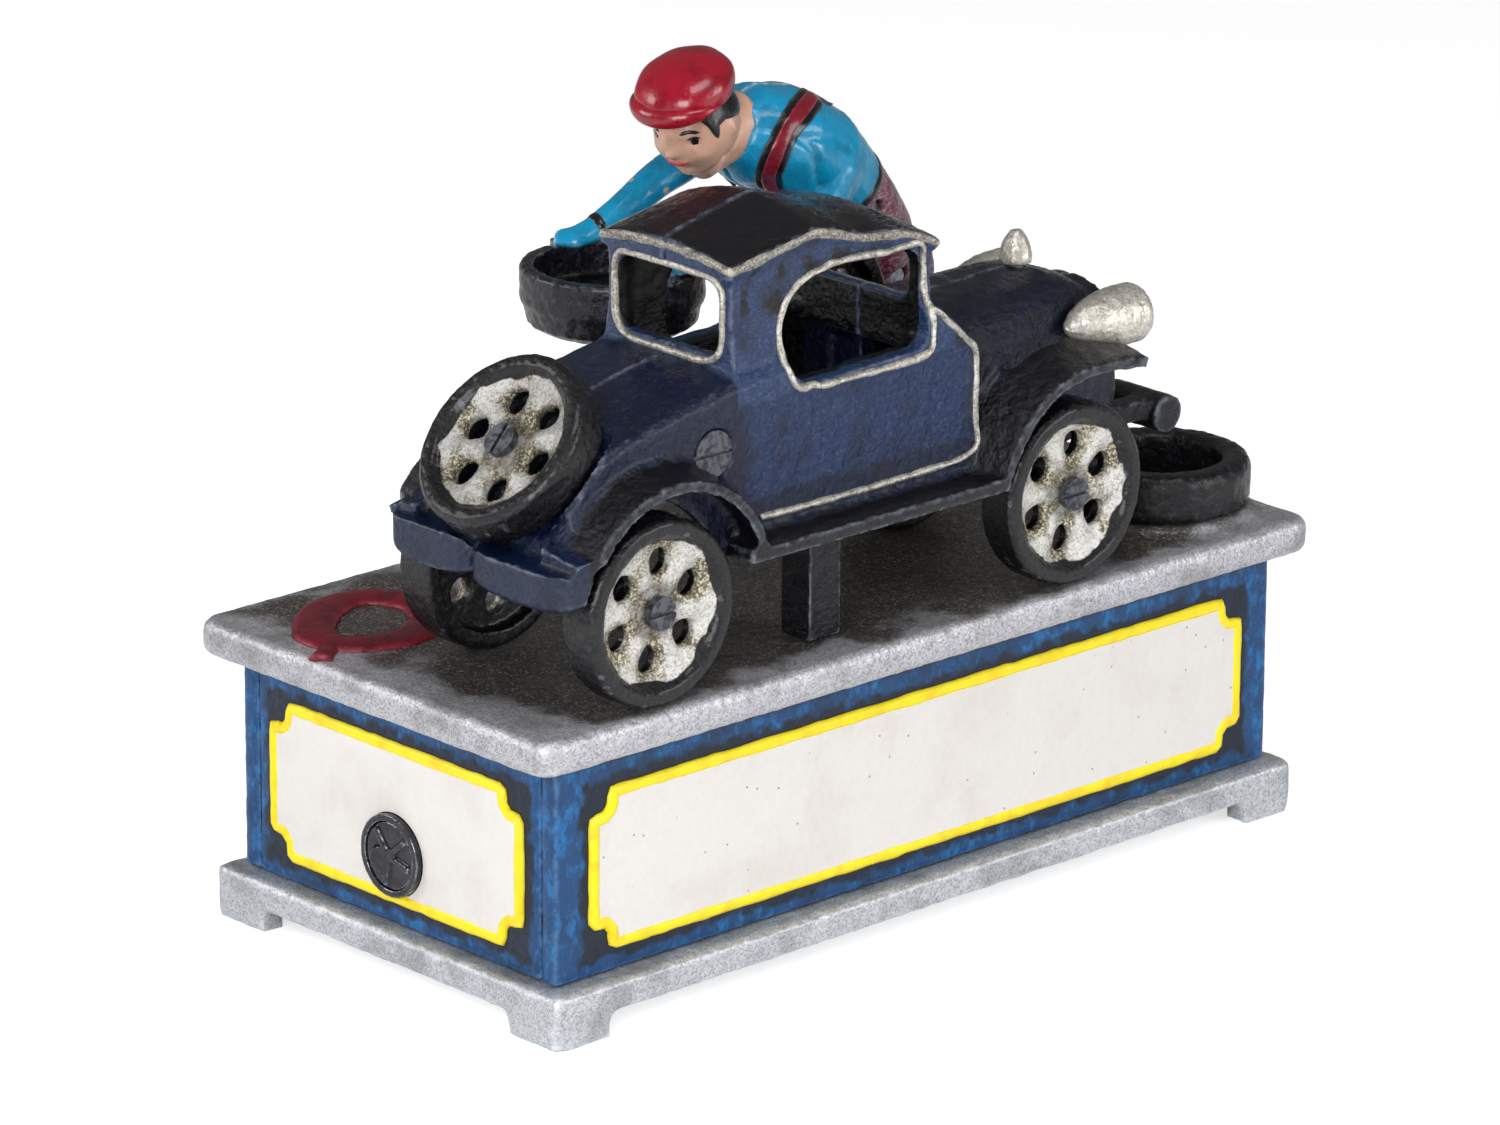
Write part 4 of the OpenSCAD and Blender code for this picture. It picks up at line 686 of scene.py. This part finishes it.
y0, y1, z0, z1 = plaques["lever"]
walls = {"front": (plaques["sideWidth"], lambda u, v, d: (u, -case["halfWidth"] - d, v), (0, -1, 0), []),
         "back": (plaques["sideWidth"], lambda u, v, d: (u, case["halfWidth"] + d, v), (0, 1, 0), []),
         "left": (plaques["endWidth"], lambda u, v, d: (-case["halfLength"] - d, u, v), (-1, 0, 0),
                  [circle(*plaques["lock"])]),
         "right": (plaques["endWidth"], lambda u, v, d: (case["halfLength"] + d, u, v), (1, 0, 0),
                   [[(y0, z0), (y1, z0), (y1, z1), (y0, z1)]])}
for wallName, (width, toWall, outward, holes) in walls.items():
    plate(wallName + "PlaqueField", "plinth", stepped(width, plaques["fieldInset"]), holes,
          lambda u, v, d: np.array(toWall(u, v, d)) + home, plaques["fieldFoot"], plaques["fieldTop"], "cream")
    edge = evenly(stepped(width, plaques["band"]), 1.2, closed=True)
    ribbon(wallName + "PlaqueBorder", "plinth", [toWall(u, v, plaques["borderFoot"]) for u, v in edge],
           [outward] * len(edge), plaques["band"], plaques["borderTop"], "yellow", closed=True, wobble=0.16)
print("plaques made")

# crimson hose lying on the deck
hose = {"loop": [(-90.6, 27), (-82.6, 34.7), (-74.3, 37.6), (-68.2, 35), (-65.6, 27.6), (-67.6, 20.2), (-73.3, 15),
                 (-81.9, 13.6), (-88.6, 16.2), (-92, 20.8)], "tail": [(-90.5, 21), (-95.5, 17.4), (-99.9, 14.4)],
        "width": 8.6, "height": 1.3}
for partName, flat, thin, low in (("Loop", smoothLoop(hose["loop"], 90), 1.0, 1.0),
                                  ("Tail", smoothLine(hose["tail"], 14), 0.5, 0.9)):
    ribbon("hose" + partName, "plinth", [(x, y, pressedTop) for x, y in flat], [(0, 0, 1)] * len(flat),
           hose["width"] * thin, hose["height"] * low, "crimson", closed=partName == "Loop")

# car castings
apron = {"front": -92.0, "deep": 4.8, "near": (-35.5, 13.5, 86.9), "far": (-11.0, 11.0, 88.1), "half": 4.1,
         "power": 3.0, "from": -87.6, "below": 94}


def roundApron(p, nv):
    # each half of the apron hangs as a rounded lobe: a point's place (u, v, w) in its half's box is divided by
    # (|u|^n + v^n + w^n)^(1/n) where that is over 1; v counts below the middle and w in front of it
    q = p - home
    nearHalf = q[:, 1] < carMiddle
    middleY, halfY, middleZ = (np.where(nearHalf, a, b) for a, b in zip(apron["near"], apron["far"]))
    u, v = (q[:, 1] - middleY) / halfY, (q[:, 2] - middleZ) / apron["half"]
    w, n = (q[:, 0] - apron["front"]) / apron["deep"], apron["power"]
    beside, below, before = np.clip(np.abs(u), 0, 1.2), np.clip(-v, 0, 1.3), np.clip(-w, 0, 1.3)
    over = np.maximum(1, (beside ** n + below ** n + before ** n) ** (1 / n))
    share = np.clip(apron["from"] - q[:, 0], 0, 1) * (q[:, 2] < apron["below"])
    q[:, 1] += share * (u / over - u) * halfY
    q[:, 2] += share * np.where(v < 0, v / over - v, 0) * apron["half"]
    q[:, 0] += share * np.where(w < 0, w / over - w, 0) * apron["deep"]
    return q + home


carSkin = skin(*[cast(half, "plinth", "carPaint", voxel=0.72, rounds=1, rough=0.16, size=1.3, shape=roundApron)
                 for half in ("car_right_half", "car_left_half")])
for piece in ("radiator_cap", "headlight_right", "headlight_left"):
    cast(piece, "plinth", "lampSilver", voxel=0.4, rounds=2, rough=0.12, size=1.0)
print("car castings made")

# silver lines painted over raised ribs of the casting
ribs = {"width": 1.4, "thin": 1.26, "height": 0.75, "wobble": 0.3, "lipWidth": 1.7, "lipHeight": 0.5,
        "side": 19.0, "door": 20.6, "eaves": 18.2, "rear": -46.4, "front": 6.0, "lipFront": (7.2, 133.1),
        "lipBack": (-47.6, 8, 138.4)}
window = [(-33.9, 118), (-33.6, 124.5), (-31, 129.8), (-25.5, 132.6), (-18, 133.3), (-8, 132.9), (0.6, 132.6),
          (2.9, 130.8), (3.1, 124), (3.1, 116), (1.8, 112.3), (-6, 111.7), (-18, 111.7), (-28, 111.7), (-32.6, 113.4)]
cowl = [(3.2, 122.0), (8, 117.8), (12.3, 113.8), (14.4, 110.8), (15.3, 104), (15.3, 96), (14.2, 91.3), (10.5, 89.8),
        (0, 89.4), (-14, 89.2), (-28, 89.2), (-41, 89.4)]
rearWindow = [(-36.6, 127), (-36.4, 132.4), (-33, 135), (-22, 135.2), (-11, 135), (-7.6, 132.4), (-7.4, 127),
              (-7.8, 121.4), (-11, 118.7), (-22, 118.5), (-33, 118.7), (-36.2, 121.4)]
windscreen = [(-36.4, 127), (-36, 131.4), (-32.6, 132.4), (-22, 132.5), (-11.4, 132.4), (-8, 131.4), (-7.6, 126.5),
              (-8, 122), (-11.4, 120.7), (-22, 120.6), (-32.6, 120.7), (-36, 122)]
eaves = [(-47, 137), (-45, 137), (-31, 139.4), (-25.5, 140.3), (-20, 139.1), (-13, 137.1), (-2, 135.8), (3.5, 133.6),
         (6.4, 132.4)]


def rib(name, points, width, closed=True, height=ribs["height"], finish="silverTrim"):
    spots, normals = snapped(carSkin, points, closed)
    ribbon(name, "plinth", spots, normals, width, height, finish, closed, ribs["wobble"])


for sideName, way in (("near", -1), ("far", 1)):
    rib(sideName + "WindowRib", [(x, carMiddle + way * ribs["side"], z) for x, z in window], ribs["width"])
    rib(sideName + "DoorRib", [(x, carMiddle + way * ribs["door"], z) for x, z in cowl], ribs["thin"], closed=False)
rib("rearWindowRib", [(ribs["rear"], y, z) for y, z in rearWindow], ribs["width"])
rib("windscreenRib", [(ribs["front"], y, z) for y, z in windscreen], ribs["thin"])
frontX, frontZ = ribs["lipFront"]
backX, backY, backZ = ribs["lipBack"]
lip = [(x, carMiddle - ribs["eaves"], z) for x, z in eaves] + [(frontX, carMiddle, frontZ)]
lip += [(x, carMiddle + ribs["eaves"], z) for x, z in eaves[::-1]]
lip += [(backX, carMiddle + backY, backZ), (backX, carMiddle - backY, backZ)]
rib("roofLip", lip, ribs["lipWidth"], height=ribs["lipHeight"], finish="lipSilver")
print("silver ribs made")

# wheels: each disc is silver inside its tyre, with soft ridges like a star between the six holes
spare = {"x": -88.0, "z": 110.3, "lean": 42.0}
sideTyre = {"at": (13.0, 7.4, 107.5)}
slope = math.radians(spare["lean"] - 90)
seats = {f"wheel_{end}_{sideName}": ((wheel[end], carMiddle + way * wheel["out"], wheel["hubZ"]), (0, way, 0),
                                     f"{end}_{sideName}_wheel")
         for sideName, way in (("right", -1), ("left", 1)) for end in ("front", "rear")}
seats["spare_wheel"] = ((spare["x"], carMiddle, spare["z"]), (math.sin(slope), 0, math.cos(slope)), "plinth")
seats["side_tyre"] = (sideTyre["at"], (0, 1, 0), "plinth")


def starOf(centre, axis):
    # height over the disc: ridge * exp(-(turn from the nearest spoke / width)^2), fading toward hub and rim
    c, a = np.array(centre) + home, np.array(axis, float)
    first, second = wheelPlane(a)

    def shape(p, nv):
        q = p - c
        out, u, v = q @ a, q @ first, q @ second
        r = np.hypot(u, v)
        spoke = (np.arctan2(v, u) - math.radians(wheel["spoke"])) * 3 / math.pi
        spoke = (spoke - np.round(spoke)) * math.pi / 3
        face = (nv @ a > 0.5) & (out > wheel["face"][0]) & (out < wheel["face"][1])
        fade = np.clip((r - wheel["hub"]) / wheel["soft"], 0, 1) * np.clip((wheel["rim"] - r) / wheel["soft"], 0, 1)
        rise = wheel["ridge"] * np.exp(-(spoke / wheel["ridgeWidth"]) ** 2) * fade
        return p + np.outer(np.where(face, rise, 0), a)
    return shape


for wheelName, (centre, axis, body) in seats.items():
    finishes[wheelName] = discPaint(wheelName + " paint", centre, axis)
    cast(wheelName, body, wheelName, voxel=0.42, rounds=2, rough=0.12, size=1.1, shape=starOf(centre, axis))
cast("deck_tyre", "plinth", "tyre", voxel=0.5, rounds=2, rough=0.2, size=1.5)
print("wheels made")

# thumb lever and lock
cast("thumb_lever", "lever", "silverBase", voxel=0.5, rounds=2, rough=0.1, size=1.2)
for piece, body in (("lock_body", "plinth"), ("lock_barrel", "lock_plug")):
    cast(piece, body, "lock", voxel=0.3, rounds=2, rough=0.04, size=1.0)

# the figure
shirt = {"grooveDepth": 0.7, "grooveWidth": 1.1}
grooves = [
    [(10.2, 18.9, 143.6), (10.4, 14.9, 143.4), (12.7, 13.1, 142.9), (15.3, 11.2, 142.1), (17.9, 10.3, 140.4),
     (20.7, 9.1, 137.7), (21.7, 9.2, 134.6), (23.5, 10.5, 129.9)],
    [(17.9, 10.3, 140.4), (22.5, 9.2, 139.8), (27, 9, 138.6), (31, 9.4, 136.5)],
    [(-3.5, 14, 118.2), (0, 9.6, 120.4), (-1, 9.2, 123)]]
grooveLines = [evenly(smoothLine(g, 60), 0.5) for g in grooves]
grooveLines += [g * np.array([1, -1, 1]) + np.array([0, 2 * figureMiddle, 0]) for g in grooveLines[:2]]


def shirtFolds(p, nv):
    # the shirt sinks along each fold by depth * exp(-(distance / width)^2)
    q = p - home
    sink = np.zeros(len(q))
    for g in grooveLines:
        far = np.min([np.linalg.norm(q - spot, axis=1) for spot in g], axis=0)
        sink = np.maximum(sink, shirt["grooveDepth"] * np.exp(-(far / shirt["grooveWidth"]) ** 2))
    return p - nv * sink[:, None]


torsoSkin = skin(*[cast(half, "upper_body", "shirt", voxel=0.55, rounds=3, rough=0.12, size=1.6, shape=shirtFolds)
                   for half in ("torso_right_half", "torso_left_half")])
folds = {"depth": 0.5, "pitch": 9.0, "shoeTop": 68, "fade": 6}


def trouserFolds(p, nv):
    # shallow creases round the legs: depth * (1 - cos) of the height, turned a little by the side
    q = p - home
    wave = 0.5 - 0.5 * np.cos(2 * math.pi * (q[:, 2] + 0.35 * q[:, 1]) / folds["pitch"] + grain(q, 6, 4))
    high = np.clip((q[:, 2] - folds["shoeTop"]) / folds["fade"], 0, 1)
    return p - nv * (folds["depth"] * wave * high)[:, None]


for half in ("trousers_right_half", "trousers_left_half"):
    cast(half, "plinth", "trousers", voxel=0.6, rounds=2, rough=0.14, size=1.2, shape=trouserFolds)
cast("coin_tray", "upper_body", "tray", voxel=0.5, rounds=2, rough=0.2, size=1.4)
print("figure castings made")

# painted bands on the shirt: braces with black borders, waist line, wrist lines
bands = {"border": 5.4, "borderRise": 0.22, "inner": 2.9, "innerRise": 0.3, "line": 1.7, "lineRise": 0.25}
brace = [(38.5, 25, 133.5), (34.5, 21.6, 139.6), (29.7, 18.6, 145.1), (23.7, 14.3, 145.7), (20.1, 12.6, 144.7),
         (17.3, 11.7, 143.4), (15.5, 11.2, 142.0), (13.9, 11.1, 140.2), (12.9, 11.6, 137.7), (12.6, 12.7, 134.9),
         (13.4, 14.4, 132.0), (17, 16.5, 128.6)]
for braceName, flip in (("near", 1), ("far", -1)):
    path = [(x, figureMiddle + flip * (y - figureMiddle), z) for x, y, z in brace]
    spots, normals = snapped(torsoSkin, path)
    ribbon(braceName + "BraceBorder", "upper_body", spots, normals, bands["border"], bands["borderRise"], "blackGloss")
    ribbon(braceName + "Brace", "upper_body", spots + normals * 0.1, normals, bands["inner"], bands["innerRise"],
           "brace")


def ringRound(centre, axis, radius, count=40):
    a = unit(np.array(axis, float))
    u = unit(np.cross(a, (0, 1, 0)))
    turn = (np.arange(count) * 2 * math.pi / count)[:, None]
    return np.array(centre) + radius * (np.cos(turn) * u + np.sin(turn) * np.cross(a, u))


for lineName, centre, axis, radius in (("waistLine", (37.6, 22, 124.8), (5, 0, -6.3), 13),
                                       ("farWristLine", (-9.6, 37.3, 122.3), (5, -1.4, 2.8), 4.5),
                                       ("nearWristLine", (-4.5, 12.3, 120.1), (1, 0, 0), 4.5)):
    spots, normals = snapped(torsoSkin, ringRound(centre, axis, radius), closed=True)
    ribbon(lineName, "upper_body", spots, normals, bands["line"], bands["lineRise"], "blackGloss", closed=True,
           wobble=0.2)
print("painted bands made")

# the head: f runs out of the face, s to the figure's right (the near side) and v up through the crown
head = {"middle": (1.8, 22.0, 144.1), "turn": 11.0, "nod": 24.0, "long": 9.0, "wide": 8.1, "tall": 9.6}
headMiddle = np.array(head["middle"])
turnBy, nodBy = math.radians(head["turn"]), math.radians(head["nod"])
faceOut = np.array([-math.cos(nodBy) * math.cos(turnBy), -math.cos(nodBy) * math.sin(turnBy), -math.sin(nodBy)])
faceSide = np.array([math.sin(turnBy), -math.cos(turnBy), 0])
crown = np.cross(faceOut, faceSide)
# bumps: amount in mm, direction and width round the head, height and width up it in degrees; one at 0 stands once
features = [(1.5, 0, 9, -4, 8), (0.5, 0, 14, 8, 9), (0.35, 26, 15, 21, 7), (-0.55, 31, 11, 9, 7),
            (0.55, 38, 16, -14, 12), (0.5, 0, 20, -20, 5), (-0.35, 0, 18, -25, 2.2), (0.3, 0, 16, -29, 3.5),
            (-0.45, 0, 24, -35, 5), (0.9, 0, 22, -48, 10), (0.9, 96, 7, 0, 11), (-0.4, 98, 4, 0, 6)]


def onHead(azimuth, height, lift=0.0):
    # a point of the head in a direction given in degrees: the ellipsoid with soft bumps
    # amount * exp(-(da / wide)^2 - (de / high)^2) for brow, nose, cheeks, lips, chin, sockets and ears
    a, e = np.radians(azimuth), np.radians(height)
    d = np.stack([np.cos(e) * np.cos(a), np.cos(e) * np.sin(a), np.sin(e)], axis=-1)
    r = 1 / np.linalg.norm(d / (head["long"], head["wide"], head["tall"]), axis=-1)
    around = (np.asarray(azimuth) + 180) % 360 - 180
    for amount, at, wide, level, high in features:
        for flip in ((1, -1) if at else (1,)):
            r = r + amount * np.exp(-((around - flip * at) / wide) ** 2 - ((height - level) / high) ** 2)
    d = d * (r + lift)[..., None]
    return headMiddle + d[..., :1] * faceOut + d[..., 1:2] * faceSide + d[..., 2:] * crown


compass = np.arange(0, 360, 2.5)
rings = [onHead(compass, np.full(len(compass), float(e))) for e in np.arange(-86, 87, 2.5)]
face = surface("headFlesh", "upper_body", rings, "skin")
neck = {"path": [(2.4, 22, 139.4), (7.5, 22, 141), (12.5, 22, 141.8)], "radius": 6.6}
turn = np.radians(compass[::4])
neckRing = neck["radius"] * np.stack([np.zeros(len(turn)), np.cos(turn), np.sin(turn)], axis=1)
surface("neck", "upper_body", [q + neckRing for q in smoothLine(neck["path"], 12)], "skin")
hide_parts("head")

# hair under the cap with a pointed sideburn on each side
hair = {"lift": 0.45, "top": 50.0, "from": 46, "depth": -0.5}
hairLine = [(48, 34), (56, 23), (61, 6), (65, 1), (69, 6), (73, 17), (86, 18), (100, 12), (118, 3), (150, -3),
            (180, -4)]
sweep = np.concatenate([np.linspace(hair["from"], 180, 110), np.linspace(180, 360 - hair["from"], 110)[1:]])
rings = []
for a, e in zip(sweep, np.interp(np.where(sweep > 180, 360 - sweep, sweep), *zip(*hairLine))):
    rise = np.linspace(e, hair["top"], 9)
    outer = onHead(np.full(9, a), rise, hair["lift"] * np.array([0.3, 0.85, 1, 1, 1, 1, 1, 1, 1]))
    inner = onHead(np.full(9, a), rise[::-1], np.full(9, hair["depth"]))
    rings.append(np.concatenate([outer, inner]))
surface("hair", "upper_body", rings, "hair")

# cap: a low full crown, a little longer than wide, that bulges by a hundredth in eight soft gathers
cap = {"shift": 0.3, "bottom": 6.5, "long": 1.02, "wide": 0.96, "gathers": 8, "puff": 0.012}
profile = smoothLine([(8.8, 6.5), (9.5, 6.9), (9.85, 8.0), (9.95, 9.3), (9.7, 10.5), (8.8, 11.8), (7.2, 12.9),
                      (5, 13.7), (2.5, 14.1), (0.3, 14.2)], 40)
turn = np.arange(72) * 2 * math.pi / 72
rings = []
for r, v in profile:
    puff = 1 + cap["puff"] * np.cos(cap["gathers"] * turn) * np.clip((v - 6) / 4, 0, 1)
    f = r * cap["long"] * puff * np.cos(turn) + cap["shift"]
    s = r * cap["wide"] * puff * np.sin(turn)
    rings.append(headMiddle + np.outer(f, faceOut) + np.outer(s, faceSide) + v * crown)
surface("cap", "upper_body", rings, "red")

# the cap's peak: a thick roll round the front whose oval cross-section thins as cos(88 a / spread)^0.6
peak = {"reach": 2.4, "spread": 74.0, "thick": 3.5, "droop": 0.9, "start": 9.0}
t = np.linspace(0, 2 * math.pi, 21)[:-1]
rings = []
for a in np.linspace(-peak["spread"], peak["spread"], 61):
    share = max(0.03, math.cos(math.radians(88 * a / peak["spread"]))) ** 0.6
    out = (peak["reach"] * share + 0.6) * (0.5 + 0.5 * np.cos(t)) ** 0.8
    v = cap["bottom"] + 0.9 + share * (peak["thick"] / 2 * (1 + np.sin(t)) - peak["droop"] * out / 3)
    f = (peak["start"] + out) * math.cos(math.radians(a)) + cap["shift"] / 2
    s = (peak["start"] + out) * math.sin(math.radians(a))
    rings.append(headMiddle + np.outer(f, faceOut) + np.outer(s, faceSide) + np.outer(v, crown))
surface("capPeak", "upper_body", rings, "red")


# painted features
def stroke(name, azimuths, heights, width, rise, finish):
    # an oval rod laid on the face: its two half widths taper toward the ends as a clipped sine
    a = smoothLine(np.stack([azimuths, heights], axis=1), 26)
    p = onHead(a[:, 0], a[:, 1])
    n = unit(p - headMiddle)
    sideWay = unit(np.cross(unit(np.gradient(p, axis=0)), n))
    taper = np.clip(np.sin(np.linspace(0.12, math.pi - 0.12, 26)) * 1.6, 0.25, 1)[:, None]
    rods = [p + sideWay * width / 2 * taper * math.cos(t) + n * rise * taper * math.sin(t)
            for t in np.linspace(0, 2 * math.pi, 13)[:-1]]
    surface(name, "upper_body", np.stack(rods, axis=1), finish)


for label, flip in (("right", 1), ("left", -1)):
    for featureName, azimuths, heights, width, rise, finish in (
            ("Brow", (16, 28, 43), (21, 24, 20), 0.75, 0.22, "hair"),
            ("EyeLid", (24, 32, 42), (13, 15.5, 12), 0.6, 0.2, "hair"),
            ("Eye", (28, 33, 39), (10, 10, 10), 1.9, 0.28, "eye")):
        stroke(label + featureName, [flip * a for a in azimuths], heights, width, rise, finish)
stroke("upperLip", (-19, -6, 0, 6, 19), (-20, -21.5, -22, -21.5, -20), 0.95, 0.4, "lip")
stroke("lowerLip", (-12, 0, 12), (-25, -27, -25), 0.9, 0.35, "lip")
print("head made")

# a worn spot where the paint has gone from the tray's floor: radius * (1 + 0.25 sin 3t + 0.12 sin 7t)
wornSpot = {"at": (-23.5, 27.0), "radius": 2.2, "floor": 111.4, "foot": -0.3, "top": 0.12}
outline = []
for t in np.arange(40) * 2 * math.pi / 40:
    r = wornSpot["radius"] * (1 + 0.25 * math.sin(3 * t) + 0.12 * math.sin(7 * t))
    outline.append((wornSpot["at"][0] + r * math.cos(t), wornSpot["at"][1] + r * math.sin(t)))
plate("trayWornSpot", "upper_body", outline, [], lambda u, v, d: np.array([u, v, wornSpot["floor"] + d]) + home,
      wornSpot["foot"], wornSpot["top"], "chip")

# the small turned pieces keep the CAD's own surface
plain = {"steel": ("wall_screws", "deck_screws", "deck_tyre_screws", "post_screw", "trouser_screws", "torso_rivet",
                   "lock_cam", "lock_cam_screw", "lock_nut", "push_rod", "lever_pin", "hip_pin", "rod_pin",
                   "tray_rivets"),
         "darkSteel": ("wheel_screws", "spare_screw", "side_tyre_screw", "car_screw")}
for finish, names in plain.items():
    for name in names:
        nodes[name].data.materials.clear()
        nodes[name].data.materials.append(finishes[finish])

# the return spring sits on the rod's collar and moves with the rod
springLow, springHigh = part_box("return_spring")
rodTravel = next(j["range_m"][1] for j in frame["record"]["behaviour"]["joints"] if j["name"] == "rod_lift")
coil = finishPiece("returnSpringCoil", "rod", nodes["return_spring"].data.copy(), "steel")
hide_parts("return_spring")
1 - rodTravel / (springHigh[2] - springLow[2])
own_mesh(coil)
print("small pieces finished")
